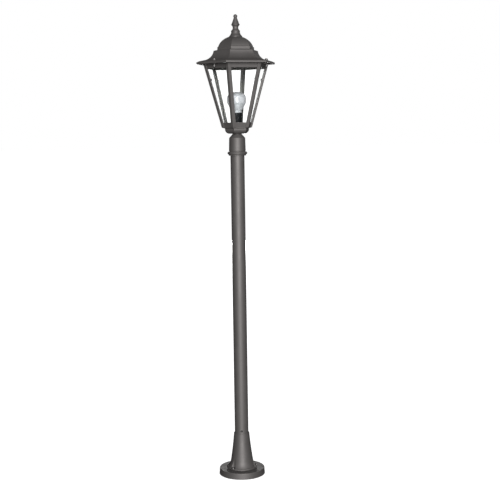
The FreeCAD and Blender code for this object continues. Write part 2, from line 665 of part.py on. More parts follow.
def bottom_rail():
    shelf_root = face_distance(SHELF_Z, INNER_DEPTH)
    return (
        Outline(face_distance(CAGE_Z, POST_PROUD), CAGE_Z)
        .to(face_distance(BOTTOM_RAIL_TOP_Z, POST_PROUD), BOTTOM_RAIL_TOP_Z)
        .to(face_distance(BOTTOM_RAIL_TOP_Z, INNER_DEPTH), BOTTOM_RAIL_TOP_Z)
        .to(shelf_root, SHELF_Z)
        .to(shelf_root - SHELF_WIDTH, SHELF_Z)
        .to(shelf_root - SHELF_WIDTH, CAGE_Z)
        .mitred()
    )


def top_rail():
    band = (
        Outline(face_distance(TOP_RAIL_Z, POST_PROUD), TOP_RAIL_Z)
        .to(face_distance(CAGE_TOP_Z, POST_PROUD), CAGE_TOP_Z)
        .to(face_distance(CAGE_TOP_Z, INNER_DEPTH), CAGE_TOP_Z)
        .to(face_distance(TOP_RAIL_Z, INNER_DEPTH), TOP_RAIL_Z)
        .mitred()
    )
    circle = ROOF_SCREW_CIRCLE / 2
    ear_z = CAGE_TOP_Z - EAR_THICKNESS
    root = face_distance(ear_z, INNER_DEPTH) + RAIL_THICKNESS / 2
    ear = Part.makeBox(circle - root, EAR_WIDTH, EAR_THICKNESS, Vector(root, -EAR_WIDTH / 2, ear_z))
    ear = joined([ear, cylinder(EAR_WIDTH / 2, ear_z, EAR_THICKNESS, circle)])
    end = Part.makeBox(circle + EAR_PAST_HOLE, EAR_WIDTH, EAR_THICKNESS, Vector(0, -EAR_WIDTH / 2, ear_z))
    ear = ear.common(end)
    holes = around(cylinder(ROOF_SCREW_THREAD + SLIP_CLEARANCE, ear_z, EAR_THICKNESS, circle), SCREW_AZIMUTHS)
    return joined([band] + around(ear, SCREW_AZIMUTHS)).cut(holes)


def pane():
    """A pane, drawn with its face square to +X."""
    sections = []
    low, high = SHELF_Z, CAGE_TOP_Z - PANE_BELOW_RAIL_TOP
    for z in (low, high):
        outer = face_distance(z, GLASS_DEPTH)
        inner = face_distance(z, GLASS_DEPTH + PANE_THICKNESS)
        half = inner * math.tan(HALF_CORNER) - PANE_CORNER_GAP
        sections.append([(outer, -half), (outer, half), (inner, half), (inner, -half)])
    return ruled(sections[0], low, sections[1], high)


def pane_clip():
    """A clip inside a post: two wings behind the panes and a stem between them, with its corner on +X."""
    low = BOTTOM_RAIL_TOP_Z + CLIP_ABOVE_RAIL
    high = low + CLIP_HEIGHT
    depth = GLASS_DEPTH + PANE_THICKNESS + PANE_GAP
    wings = []
    stem = []
    for z, reach in ((low, CLIP_FOOT_WING), (high, CLIP_WING)):
        wings.append(angle_section(z, depth, depth + CLIP_THICKNESS, half_side(z, depth) - reach))
        tip = corner_radius(z, INNER_DEPTH)
        heel = corner_radius(z, depth + CLIP_THICKNESS / 2)
        half = CLIP_STEM / 2
        shoulder = tip - half * math.tan(HALF_CORNER)
        stem.append([(tip, 0), (shoulder, half), (heel, half), (heel, -half), (shoulder, -half)])
    return joined([ruled(wings[0], low, wings[1], high), ruled(stem[0], low, stem[1], high)])


# ------------------------------------------------------------------------------------------ roof and finial
def slope_z(width):
    """Height of the gentle slope between the eave's lip and the cove, at a distance from the axis."""
    return EAVE_Z + EAVE_LIP + (EAVE_WIDTH - width) * slope_fall()


def slope_fall():
    return (COVE_START_RISE - EAVE_LIP) / (EAVE_WIDTH - COVE_START_WIDTH)


def cove_middle():
    """Middle of the arc that leaves the slope smoothly and ends at the cove's top."""
    start = Vector(COVE_START_WIDTH, 0, EAVE_Z + COVE_START_RISE)
    end = Vector(COVE_TOP_WIDTH, 0, EAVE_Z + COVE_TOP_RISE)
    chord = end - start
    turn = chord.getAngle(Vector(-1, 0, slope_fall()))
    outwards = Vector(-chord.z, 0, chord.x).normalize()
    return (start + end) / 2 + outwards * (chord.Length / 2 * math.tan(turn / 2))


def dome_points(inset):
    """The dome's quarter ellipse from its foot to the flat on top, lowered and narrowed by an inset."""
    angles = [DOME_FLAT_ANGLE * n / DOME_STEPS for n in range(1, DOME_STEPS + 1)]
    width = DOME_WIDTH - inset
    return [(width * math.cos(angle), LEDGE_Z - inset + DOME_HEIGHT * math.sin(angle)) for angle in angles]


def roof():
    wall = ROOF_WALL
    rib = CAGE_TOP_WIDTH - ROOF_RIB_INSET
    rib_inner = rib - ROOF_RIB_THICKNESS
    rib_foot_z = CAGE_TOP_Z + LIFT_GAP
    cove_start_z = EAVE_Z + COVE_START_RISE
    cove_z = EAVE_Z + COVE_TOP_RISE
    middle = cove_middle()
    inner_dome = dome_points(wall)
    down = [(DOME_WIDTH - wall, LEDGE_Z - wall)] + inner_dome[:-1]
    shell = (
        Outline(EAVE_WIDTH - wall, EAVE_Z - EAVE_DRIP)
        .to(EAVE_WIDTH, EAVE_Z - EAVE_DRIP)
        .to(EAVE_WIDTH, EAVE_Z + EAVE_LIP)
        .to(COVE_START_WIDTH, cove_start_z)
        .through((middle.x, middle.z), (COVE_TOP_WIDTH, cove_z))
        .to(DOME_WIDTH, LEDGE_Z)
        .smooth(dome_points(0))
        .to(0, DOME_FLAT_Z)
        .to(0, DOME_FLAT_Z - wall)
        .to(*inner_dome[-1])
        .smooth(down[::-1])
        .to(COVE_TOP_WIDTH - wall, cove_z - wall)
        .through((middle.x - wall, middle.z - wall), (COVE_START_WIDTH - wall, cove_start_z - wall))
        .to(rib_inner, slope_z(rib_inner) - wall)
        .to(rib_inner, rib_foot_z)
        .to(rib, rib_foot_z)
        .to(rib, slope_z(rib) - wall)
        .to(EAVE_WIDTH - wall, slope_z(EAVE_WIDTH - wall) - wall)
        .mitred()
    )
    circle = ROOF_SCREW_CIRCLE / 2
    height = roof_seat_z() - EAVE_Z
    boss = cylinder(ROOF_BOSS_RADIUS, EAVE_Z, height, circle)
    hole = cylinder(ROOF_SCREW_THREAD + SLIP_CLEARANCE, EAVE_Z, height, circle)
    stud_hole = cylinder(STUD_RADIUS + SLIP_CLEARANCE, DOME_FLAT_Z - 2 * wall, 3 * wall)
    return joined([shell] + around(boss, SCREW_AZIMUTHS)).cut(around(hole, SCREW_AZIMUTHS) + [stud_hole])


def roof_seat_z():
    return slope_z(ROOF_SCREW_CIRCLE / 2) + ROOF_BOSS_ABOVE


def roof_screws():
    seat = roof_seat_z() + ROOF_WASHER_THICKNESS
    circle = ROOF_SCREW_CIRCLE / 2
    shank = cylinder(ROOF_SCREW_THREAD, seat - ROOF_SCREW_LENGTH, ROOF_SCREW_LENGTH, circle)
    head = cylinder(ROOF_SCREW_HEAD_RADIUS, seat, ROOF_SCREW_HEAD_HEIGHT, circle)
    key = hexagon_key(ROOF_SCREW_HEAD_RADIUS, seat, ROOF_SCREW_HEAD_HEIGHT, circle)
    return around(joined([shank, head]).cut(key), SCREW_AZIMUTHS)


def roof_washers():
    hole = ROOF_SCREW_THREAD + SLIP_CLEARANCE
    return washers(
        roof_seat_z(), ROOF_WASHER_RADIUS, hole, ROOF_WASHER_THICKNESS, ROOF_SCREW_CIRCLE, SCREW_AZIMUTHS
    )


def finial():
    foot_z = DOME_FLAT_Z
    neck_z = foot_z + FINIAL_NECK_HEIGHT
    bead_z = neck_z + FINIAL_BEAD_HEIGHT
    rim_z = foot_z + FINIAL_RIM_HEIGHT
    tip_z = foot_z + FINIAL_TIP_HEIGHT
    skirt = (FINIAL_FOOT_RADIUS + FINIAL_NECK_RADIUS) / 2
    skirt_z = (foot_z + FINIAL_FOOT_HEIGHT + neck_z) / 2
    bead_end = FINIAL_NECK_RADIUS - BEAD_STEP
    cone_middle = (FINIAL_RIM_RADIUS + FINIAL_TIP_RADIUS) / 2 - FINIAL_CONE_BOW
    centre_z = tip_z + math.sqrt(FINIAL_BALL_RADIUS**2 - FINIAL_TIP_RADIUS**2)
    top_z = centre_z + FINIAL_BALL_RADIUS
    side = FINIAL_BALL_RADIUS * math.cos(HALF_CORNER)
    side_z = centre_z + FINIAL_BALL_RADIUS * math.sin(HALF_CORNER)
    thread = STUD_RADIUS + THREAD_CLEARANCE
    return (
        Outline(thread, foot_z)
        .to(FINIAL_FOOT_RADIUS, foot_z)
        .to(FINIAL_FOOT_RADIUS, foot_z + FINIAL_FOOT_HEIGHT)
        .through((skirt + FINIAL_SKIRT_BOW, skirt_z), (FINIAL_NECK_RADIUS, neck_z))
        .through((FINIAL_BEAD_RADIUS, (neck_z + bead_z) / 2), (bead_end, bead_z))
        .through((FINIAL_WAIST_RADIUS, (bead_z + rim_z) / 2), (FINIAL_RIM_RADIUS, rim_z))
        .to(FINIAL_RIM_RADIUS, rim_z + FINIAL_RIM_BAND)
        .through((cone_middle, (rim_z + FINIAL_RIM_BAND + tip_z) / 2), (FINIAL_TIP_RADIUS, tip_z))
        .through((side, side_z), (0, top_z))
        .to(0, foot_z + STUD_IN_FINIAL)
        .to(thread, foot_z + STUD_IN_FINIAL)
        .turned()
    )


def finial_stud():
    foot = DOME_FLAT_Z - ROOF_WALL - STUD_BELOW_ROOF
    return cylinder(STUD_RADIUS, foot, DOME_FLAT_Z + STUD_IN_FINIAL - foot)


def finial_nut():
    foot = DOME_FLAT_Z - ROOF_WALL - STUD_NUT_HEIGHT
    return hexagon_nut(STUD_NUT_FLATS, STUD_RADIUS + THREAD_CLEARANCE, foot, STUD_NUT_HEIGHT)


# ----------------------------------------------------------------------------------------------- lampholder
def lampholder_base():
    bore = HOLDER_RADIUS - HOLDER_WALL
    ring = tube(HOLDER_RADIUS, bore, TRAY_FLOOR_Z, HOLDER_BASE_HEIGHT)
    low = Vector(HOLDER_RADIUS - 1, -HOLDER_EAR_WIDTH / 2, TRAY_FLOOR_Z)
    ear = Part.makeBox(HOLDER_EAR_REACH - low.x, HOLDER_EAR_WIDTH, HOLDER_EAR_THICKNESS, low)
    hole = HOLDER_SCREW_THREAD + SLIP_CLEARANCE
    ear = ear.cut(cylinder(hole, TRAY_FLOOR_Z, HOLDER_EAR_THICKNESS, HOLDER_SCREW_CIRCLE / 2))
    return joined([ring] + around(ear, HOLDER_SCREW_AZIMUTHS))


def lampholder_shell():
    bore = HOLDER_RADIUS - HOLDER_WALL
    socket = INSERT_BORE + INSERT_WALL + THREAD_CLEARANCE
    floor_z = HOLDER_FLOOR_Z - HOLDER_FLOOR
    return (
        Outline(bore, HOLDER_Z)
        .to(HOLDER_RADIUS, HOLDER_Z)
        .to(HOLDER_RADIUS, HOLDER_FLOOR_Z)
        .to(HOLDER_RIM_RADIUS, HOLDER_RIM_Z)
        .to(socket, HOLDER_RIM_Z)
        .to(socket, HOLDER_FLOOR_Z)
        .to(0, HOLDER_FLOOR_Z)
        .to(0, floor_z)
        .to(bore, floor_z)
        .turned()
    )


def lampholder_insert():
    return tube(INSERT_BORE + INSERT_WALL, INSERT_BORE, HOLDER_FLOOR_Z, INSERT_LENGTH)


def lampholder_contacts():
    """The middle contact above the floor, and two terminals below it."""
    width, depth, height = TERMINAL_SIZE
    top = HOLDER_FLOOR_Z - HOLDER_FLOOR
    middle = cylinder(CONTACT_RADIUS, HOLDER_FLOOR_Z, TIP_Z - LIFT_GAP - HOLDER_FLOOR_Z)
    corners = [Vector(x - width / 2, -depth / 2, top - height) for x in (-TERMINAL_SPREAD, TERMINAL_SPREAD)]
    return [middle] + [Part.makeBox(width, depth, height, corner) for corner in corners]


def pan_screw(seat):
    """A small screw into the tray's floor, drawn along +X."""
    foot = TRAY_FLOOR_Z - HOLDER_SCREW_DEPTH
    circle = HOLDER_SCREW_CIRCLE / 2
    shank = cylinder(HOLDER_SCREW_THREAD, foot, seat - foot, circle)
    return joined([shank, cylinder(HOLDER_SCREW_HEAD_RADIUS, seat, HOLDER_SCREW_HEAD_HEIGHT, circle)])


def lampholder_screws():
    return around(pan_screw(TRAY_FLOOR_Z + HOLDER_EAR_THICKNESS), HOLDER_SCREW_AZIMUTHS)


def earth_screw():
    return at_azimuth(pan_screw(TRAY_FLOOR_Z), EARTH_AZIMUTH)


# ----------------------------------------------------------------------------------------------------- lamp
def bulb_housing():
    neck_z = BULB_Z + BULB_NECK_HEIGHT
    flare = BULB_NECK_RADIUS + (BULB_RADIUS - BULB_NECK_RADIUS) * FLARE_OUT
    flare_z = neck_z + (SEAM_Z - neck_z) * FLARE_UP
    lip = BULB_RADIUS - BULB_LIP
    return (
        Outline(0, BULB_Z)
        .to(BULB_NECK_RADIUS, BULB_Z)
        .to(BULB_NECK_RADIUS, neck_z)
        .through((flare, flare_z), (BULB_RADIUS, SEAM_Z))
        .to(lip, SEAM_Z)
        .to(lip, SEAM_Z - BULB_WALL)
        .through((flare - BULB_WALL, flare_z + BULB_WALL), (BULB_NECK_RADIUS - BULB_WALL, neck_z + BULB_WALL))
        .to(BULB_NECK_RADIUS - BULB_WALL, BULB_Z + BULB_WALL)
        .to(0, BULB_Z + BULB_WALL)
        .turned()
    )


def crown_points(inset):
    """The diffuser's quarter ellipse above its straight side, inset by the wall."""
    angles = [math.pi / 2 * n / CROWN_STEPS for n in range(1, CROWN_STEPS + 1)]
    side_z = BULB_Z + BULB_SIDE_HEIGHT
    radius = BULB_RADIUS - inset
    height = BULB_HEIGHT - BULB_SIDE_HEIGHT - inset
    return [(radius * math.cos(angle), side_z + height * math.sin(angle)) for angle in angles[:-1]] + [
        (0, side_z + height)
    ]


def bulb_diffuser():
    side_z = BULB_Z + BULB_SIDE_HEIGHT
    inner = BULB_RADIUS - BULB_WALL
    down = [(inner, side_z)] + crown_points(BULB_WALL)
    return (
        Outline(inner, SEAM_Z)
        .to(BULB_RADIUS, SEAM_Z)
        .to(BULB_RADIUS, side_z)
        .smooth(crown_points(0))
        .to(*down[-1])
        .smooth(down[-2::-1])
        .turned()
    )


def bulb_cap():
    """The cap's shell, with a lip at its foot that the insulator hangs from."""
    shell = tube(CAP_RADIUS, CAP_RADIUS - CAP_WALL, CAP_FOOT_Z, CAP_LENGTH)
    lip = tube(CAP_RADIUS, INSULATOR_TOP_RADIUS - 2 * CAP_WALL, CAP_FOOT_Z, CAP_WALL)
    return joined([shell, lip])


def bulb_insulator():
    foot = Vector(0, 0, CAP_FOOT_Z - INSULATOR_HEIGHT)
    return Part.makeCone(INSULATOR_FOOT_RADIUS, INSULATOR_TOP_RADIUS, INSULATOR_HEIGHT, foot, AXIS)


def bulb_tip():
    return cylinder(TIP_RADIUS, TIP_Z, TIP_HEIGHT)


def bulb_board():
    return cylinder(BULB_RADIUS - BULB_WALL - SLIP_CLEARANCE, SEAM_Z, BOARD_THICKNESS)


def bulb_chips():
    half = CHIP_SIZE / 2
    low = Vector(CHIP_CIRCLE / 2 - half, -half, SEAM_Z + BOARD_THICKNESS)
    chip = Part.makeBox(CHIP_SIZE, CHIP_SIZE, CHIP_HEIGHT, low)
    return around(chip, [360 / CHIP_COUNT * n for n in range(CHIP_COUNT)])


def bulb_driver():
    low = Vector(-DRIVER_WIDTH / 2, -DRIVER_THICKNESS / 2, BULB_Z + BULB_WALL)
    return Part.makeBox(DRIVER_WIDTH, DRIVER_THICKNESS, DRIVER_HEIGHT, low)


# ---------------------------------------------------------------------------------------- the whole lantern
SINGLE_NODES = (
    base_plate, cable_grommet, foot_cone, foot_screws, foot_washers,
    pole_tube, pole_screw, collar, collar_grub_screws, nipple, nipple_nut,
    tray, bottom_rail, top_rail,
    lampholder_base, lampholder_shell, lampholder_insert, lampholder_contacts, lampholder_screws, earth_screw,
    bulb_diffuser, bulb_housing, bulb_cap, bulb_insulator, bulb_tip, bulb_board, bulb_chips, bulb_driver,
    roof, roof_screws, roof_washers, finial, finial_stud, finial_nut,
)


def main():
    os.makedirs("parts", exist_ok=True)
    for build in SINGLE_NODES:
        write(build.__name__, build())
    for number, shape in enumerate(around(post(), POST_AZIMUTHS), 1):
        write(f"post_{number}", shape)
    for number, shape in enumerate(around(pane(), FACE_AZIMUTHS), 1):
        write(f"pane_{number}", shape)
    write("pane_clips", around(pane_clip(), POST_AZIMUTHS))


main()
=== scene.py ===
import json
import math

import bmesh
import bpy
from bpy.props import FloatProperty, FloatVectorProperty, IntProperty, PointerProperty
from bpy.types import Operator, Panel, PropertyGroup
from mathutils import Matrix, Vector

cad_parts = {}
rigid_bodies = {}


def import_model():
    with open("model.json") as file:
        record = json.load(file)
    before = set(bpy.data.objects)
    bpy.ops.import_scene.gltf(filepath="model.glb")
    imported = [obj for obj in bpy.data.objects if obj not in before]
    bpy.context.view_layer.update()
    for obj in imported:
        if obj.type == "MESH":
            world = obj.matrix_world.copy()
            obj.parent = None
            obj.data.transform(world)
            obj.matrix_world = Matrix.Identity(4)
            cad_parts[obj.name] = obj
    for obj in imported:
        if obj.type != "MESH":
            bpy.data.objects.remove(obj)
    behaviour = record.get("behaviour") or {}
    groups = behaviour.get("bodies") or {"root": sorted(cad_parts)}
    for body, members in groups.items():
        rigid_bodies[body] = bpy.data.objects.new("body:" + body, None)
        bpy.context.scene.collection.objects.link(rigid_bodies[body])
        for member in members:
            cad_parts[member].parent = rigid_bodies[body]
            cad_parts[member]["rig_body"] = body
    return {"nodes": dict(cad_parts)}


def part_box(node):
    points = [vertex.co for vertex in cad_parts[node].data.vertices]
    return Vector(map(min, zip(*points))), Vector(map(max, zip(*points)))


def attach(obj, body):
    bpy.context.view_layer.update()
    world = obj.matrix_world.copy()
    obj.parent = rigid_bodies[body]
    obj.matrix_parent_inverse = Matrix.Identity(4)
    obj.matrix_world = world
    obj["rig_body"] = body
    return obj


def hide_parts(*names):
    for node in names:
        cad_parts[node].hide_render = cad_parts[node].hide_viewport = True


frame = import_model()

bl_info = {
    "name": "Post lantern",
    "version": (1, 0, 0),
    "blender": (4, 5, 0),
    "location": "View3D > Sidebar > Lantern",
    "description": "Builds a six-sided post lantern around its CAD frame, piece by piece",
    "category": "Object",
}

# Outlines are drawn in millimetres, as distance from the axis and height. The lantern's front face looks along
# -Y, so a side faces -90, -30, 30 ... degrees from +X and a corner stands on 0, 60, 120 ... degrees.
MM = 0.001
SIDES = 6
HALF_SIDE = math.pi / SIDES
SIDE_COS = math.cos(HALF_SIDE)
SIDE_SIN = math.sin(HALF_SIDE)
FRONT = -math.pi / 2
FIRST_SCREW = FRONT + 2 * HALF_SIDE
ROUND_STEPS = 4              # segments in a rounded edge
ARC_STEPS = 14               # segments in a drawn arc
SHARP_ANGLE = math.radians(34)
MERGE = 2e-7
EDGE_FULL = math.radians(32)  # an edge this sharp gets the whole painted highlight
NARROW = 0.0009              # a face this wide or less belongs to an edge
BROAD = 0.0022               # and one this wide doesn't
GLASS_LIFT = 0.45            # makes up for what two panes take from the white behind them


# ---------------- sizes from the frame
def low(node):
    """Height of a node's foot in millimetres."""
    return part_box(node)[0].z / MM


def high(node):
    """Height of a node's top in millimetres."""
    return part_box(node)[1].z / MM


def halfway(node):
    """Height of a node's middle in millimetres."""
    return (low(node) + high(node)) / 2


def reach(node):
    """A node's greatest distance along +X in millimetres."""
    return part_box(node)[1].x / MM


def body_of(node):
    return frame["nodes"][node]["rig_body"]


# ---------------- settings
class LanternSizes(PropertyGroup):
    """Sizes that shape the castings' edges and the small parts."""

    edge: FloatProperty(
        name="Edge rounding", description="Radius of the castings' outer edges",
        default=0.0008, min=0.0001, max=0.003, unit="LENGTH", precision=4)
    mitre: FloatProperty(
        name="Mitre rounding", description="Radius of the upright edges where two sides of the lantern meet",
        default=0.0016, min=0.0002, max=0.006, unit="LENGTH", precision=4)
    glass_edge: FloatProperty(
        name="Glass edge", description="Width of the ground edge of a pane",
        default=0.0004, min=0.0001, max=0.001, unit="LENGTH", precision=4)
    turn_steps: IntProperty(
        name="Turned segments", description="Segments along each sixth of a turned piece",
        default=18, min=6, max=40)
    thread_pitch: FloatProperty(
        name="Thread pitch", description="Pitch of the lamp's rolled thread",
        default=0.00363, min=0.002, max=0.006, unit="LENGTH", precision=5)
    thread_depth: FloatProperty(
        name="Thread depth", description="Depth of the lamp's rolled thread",
        default=0.0009, min=0.0002, max=0.0015, unit="LENGTH", precision=4)
    rib_count: IntProperty(
        name="Grip ribs", description="Ribs around the lampholder's shell",
        default=36, min=12, max=60)


class LanternFinish(PropertyGroup):
    """Colours and gloss of the lantern's materials."""

    coat: FloatVectorProperty(
        name="Coat", description="Colour of the powder coat",
        subtype="COLOR", size=3, min=0, max=1, default=(0.166, 0.156, 0.152))
    coat_roughness: FloatProperty(
        name="Coat roughness", description="Roughness of the powder coat",
        default=0.57, min=0, max=1, subtype="FACTOR")
    grain: FloatProperty(
        name="Coat grain", description="Size of the coat's fine grain",
        default=0.0011, min=0.0003, max=0.004, unit="LENGTH", precision=4)
    opal: FloatVectorProperty(
        name="Opal", description="Colour of the lamp's diffuser",
        subtype="COLOR", size=3, min=0, max=1, default=(0.56, 0.563, 0.588))
    holder: FloatVectorProperty(
        name="Lampholder", description="Colour of the moulded lampholder",
        subtype="COLOR", size=3, min=0, max=1, default=(0.006, 0.0065, 0.008))


class StudioSettings(PropertyGroup):
    """Camera and light of the studio."""

    azimuth: FloatProperty(
        name="Azimuth", description="Direction of the camera around the lantern",
        subtype="ANGLE", default=math.radians(-16.6))
    pitch: FloatProperty(
        name="Pitch", description="How far the camera looks down", subtype="ANGLE", default=math.radians(6.684))
    roll: FloatProperty(
        name="Roll", description="Turn of the camera about its own line of sight",
        subtype="ANGLE", default=math.radians(-0.877))
    place: FloatVectorProperty(
        name="Camera place", description="Where the camera stands",
        subtype="TRANSLATION", size=3, default=(-1.0808, -3.6253, 1.2695))
    lens: FloatProperty(
        name="Lens", description="Focal length in millimetres", default=76.22, min=10, max=300)
    shift: FloatProperty(
        name="Shift", description="Sideways shift of the picture", default=0.0223, min=-0.2, max=0.2)
    key: FloatProperty(
        name="Front light", description="Power of the large softbox in front", default=1420, min=0, unit="POWER")
    fill: FloatProperty(
        name="Side light", description="Power of the softbox at the side, behind", default=6, min=0, unit="POWER")
    back: FloatProperty(
        name="Back light", description="Power of the softbox straight behind", default=190, min=0, unit="POWER")
    ambient: FloatProperty(
        name="Room light", description="Brightness of the room on the lantern", default=0.035, min=0, max=2)


# ---------------- node trees
def add(tree, kind, inputs=None, **settings):
    """A node with its settings and inputs; an input is a value or another node's output socket."""
    made = tree.nodes.new(kind)
    for name, value in settings.items():
        setattr(made, name, value)
    for key, value in (inputs or {}).items():
        if isinstance(value, bpy.types.NodeSocket):
            tree.links.new(value, made.inputs[key])
        else:
            made.inputs[key].default_value = value
    return made


def maths(tree, operation, *values):
    """The result of a Math node."""
    return add(tree, "ShaderNodeMath", dict(enumerate(values)), operation=operation).outputs[0]


def span(tree, value, lowest, highest, start=0.3, end=0.7):
    """A value spread between two numbers."""
    return add(
        tree, "ShaderNodeMapRange",
        {"Value": value, "From Min": start, "From Max": end, "To Min": lowest, "To Max": highest}).outputs[0]


def noise(tree, where, scale, detail, roughness=0.5, distortion=0.0):
    """The height of a Noise Texture node."""
    return add(
        tree, "ShaderNodeTexNoise",
        {"Vector": where, "Scale": scale, "Detail": detail, "Roughness": roughness,
         "Distortion": distortion}).outputs[0]


def mix_colour(tree, share, first, second):
    """The result of a Mix node on two colours."""
    return add(tree, "ShaderNodeMix", {0: share, 6: first, 7: second}, data_type="RGBA").outputs[2]


def arrange(tree):
    """Sets the nodes out in columns, each to the right of what feeds it."""
    column = {}
    for _ in tree.nodes:
        for link in tree.links:
            step = column.get(link.from_node.name, 0) + 1
            column[link.to_node.name] = max(column.get(link.to_node.name, 0), step)
    used = {}
    for node in tree.nodes:
        column_number = column.get(node.name, 0)
        node.location = (column_number * 220, -used.get(column_number, 0) * 260)
        used[column_number] = used.get(column_number, 0) + 1


def open_group(name, kind, inputs, outputs):
    """A node group with named sockets, and its input and output nodes."""
    tree = bpy.data.node_groups.new(name, kind)
    for label, socket, value in inputs:
        made = tree.interface.new_socket(label, in_out="INPUT", socket_type=socket)
        if value is not None:
            made.default_value = value
    for label, socket in outputs:
        tree.interface.new_socket(label, in_out="OUTPUT", socket_type=socket)
    return tree, tree.nodes.new("NodeGroupInput"), tree.nodes.new("NodeGroupOutput")


def lead_out(tree, result, **sockets):
    """Leads sockets out of a group, which is then finished."""
    for name, socket in sockets.items():
        tree.links.new(socket, result.inputs[name])
    arrange(tree)
    return tree


def lead_out_mesh(tree, given, result, geometry):
    """Leads plain, painted geometry out of a group."""
    plain = add(tree, "GeometryNodeRealizeInstances", {"Geometry": geometry}).outputs[0]
    painted = add(
        tree, "GeometryNodeSetMaterial", {"Geometry": plain, "Material": given.outputs["Material"]}).outputs[0]
    return lead_out(tree, result, Mesh=painted)


def identifier(tree, name):
    """The identifier of a group's input, by its name."""
    return next(
        item.identifier for item in tree.interface.items_tree if item.in_out == "INPUT" and item.name == name
    )


# ---------------- Geometry Nodes
def sweep_tree():
    """Runs an outline around the axis. Each point keeps its distance from the axis square to the side, and the
    corners between sides are rounded: a rounding as large as the distance makes the piece round."""
    tree, given, result = open_group(
        "Mitred sweep", "GeometryNodeTree",
        [("Outline", "NodeSocketGeometry", None), ("Closed", "NodeSocketBool", True),
         ("Sides", "NodeSocketInt", SIDES), ("Corner Radius", "NodeSocketFloat", 0.001),
         ("Corner Steps", "NodeSocketInt", ROUND_STEPS), ("Material", "NodeSocketMaterial", None)],
        [("Mesh", "NodeSocketGeometry")])
    outline = given.outputs["Outline"]
    count = add(tree, "GeometryNodeAttributeDomainSize", {"Geometry": outline}, component="MESH").outputs[0]
    rows = maths(tree, "ADD", count, given.outputs["Closed"])
    steps = given.outputs["Corner Steps"]
    per_corner = maths(tree, "ADD", steps, 1.0)
    ring = maths(tree, "ADD", maths(tree, "MULTIPLY", per_corner, given.outputs["Sides"]), 1.0)
    grid = add(tree, "GeometryNodeMeshGrid", {"Size X": 1.0, "Size Y": 1.0, "Vertices X": rows, "Vertices Y": ring})
    index = add(tree, "GeometryNodeInputIndex").outputs[0]
    row = maths(tree, "FLOOR", maths(tree, "DIVIDE", maths(tree, "ADD", index, 0.5), ring))
    along = maths(tree, "SUBTRACT", index, maths(tree, "MULTIPLY", row, ring))
    point = maths(tree, "MODULO", row, count)
    position = add(tree, "GeometryNodeInputPosition").outputs[0]
    sampled = add(
        tree, "GeometryNodeSampleIndex", {"Geometry": outline, "Index": point},
        data_type="FLOAT_VECTOR", domain="POINT")
    value_socket = next(s for s in sampled.inputs if s.name == "Value" and s.enabled)
    tree.links.new(position, value_socket)
    drawn = add(tree, "ShaderNodeSeparateXYZ", {0: next(s for s in sampled.outputs if s.enabled)})
    corner = maths(tree, "FLOOR", maths(tree, "DIVIDE", maths(tree, "ADD", along, 0.5), per_corner))
    step = maths(tree, "SUBTRACT", along, maths(tree, "MULTIPLY", corner, per_corner))
    turn = maths(tree, "DIVIDE", 2 * math.pi, given.outputs["Sides"])
    heading = maths(tree, "MULTIPLY", corner, turn)
    share = maths(tree, "SUBTRACT", maths(tree, "DIVIDE", step, steps), 0.5)
    swing = maths(tree, "ADD", heading, maths(tree, "MULTIPLY", share, turn))
    radius = maths(tree, "MINIMUM", given.outputs["Corner Radius"], drawn.outputs["X"])
    inset = maths(tree, "SUBTRACT", drawn.outputs["X"], radius)
    centre = maths(tree, "DIVIDE", inset, maths(tree, "COSINE", maths(tree, "MULTIPLY", turn, 0.5)))
    parts = [
        maths(tree, "ADD",
              maths(tree, "MULTIPLY", centre, maths(tree, wave, heading)),
              maths(tree, "MULTIPLY", radius, maths(tree, wave, swing)))
        for wave in ("COSINE", "SINE")
    ]
    spot = add(tree, "ShaderNodeCombineXYZ", {"X": parts[0], "Y": parts[1], "Z": drawn.outputs["Z"]}).outputs[0]
    shaped = add(tree, "GeometryNodeSetPosition", {"Geometry": grid.outputs["Mesh"], "Position": spot}).outputs[0]
    merged = add(tree, "GeometryNodeMergeByDistance", {"Geometry": shaped, "Distance": MERGE}).outputs[0]
    return lead_out_mesh(tree, given, result, merged)


def ring_tree():
    """Repeats the piece around the axis."""
    tree, given, result = open_group(
        "Repeat around", "GeometryNodeTree",
        [("Piece", "NodeSocketGeometry", None), ("Count", "NodeSocketInt", SIDES),
         ("First Angle", "NodeSocketFloat", 0.0), ("Material", "NodeSocketMaterial", None)],
        [("Mesh", "NodeSocketGeometry")])
    points = add(tree, "GeometryNodePoints", {"Count": given.outputs["Count"]}).outputs[0]
    index = add(tree, "GeometryNodeInputIndex").outputs[0]
    step = maths(tree, "DIVIDE", 2 * math.pi, given.outputs["Count"])
    angle = maths(tree, "ADD", maths(tree, "MULTIPLY", index, step), given.outputs["First Angle"])
    turned = add(tree, "ShaderNodeCombineXYZ", {"Z": angle}).outputs[0]
    copies = add(
        tree, "GeometryNodeInstanceOnPoints",
        {"Points": points, "Instance": given.outputs["Piece"], "Rotation": turned}).outputs[0]
    return lead_out_mesh(tree, given, result, copies)


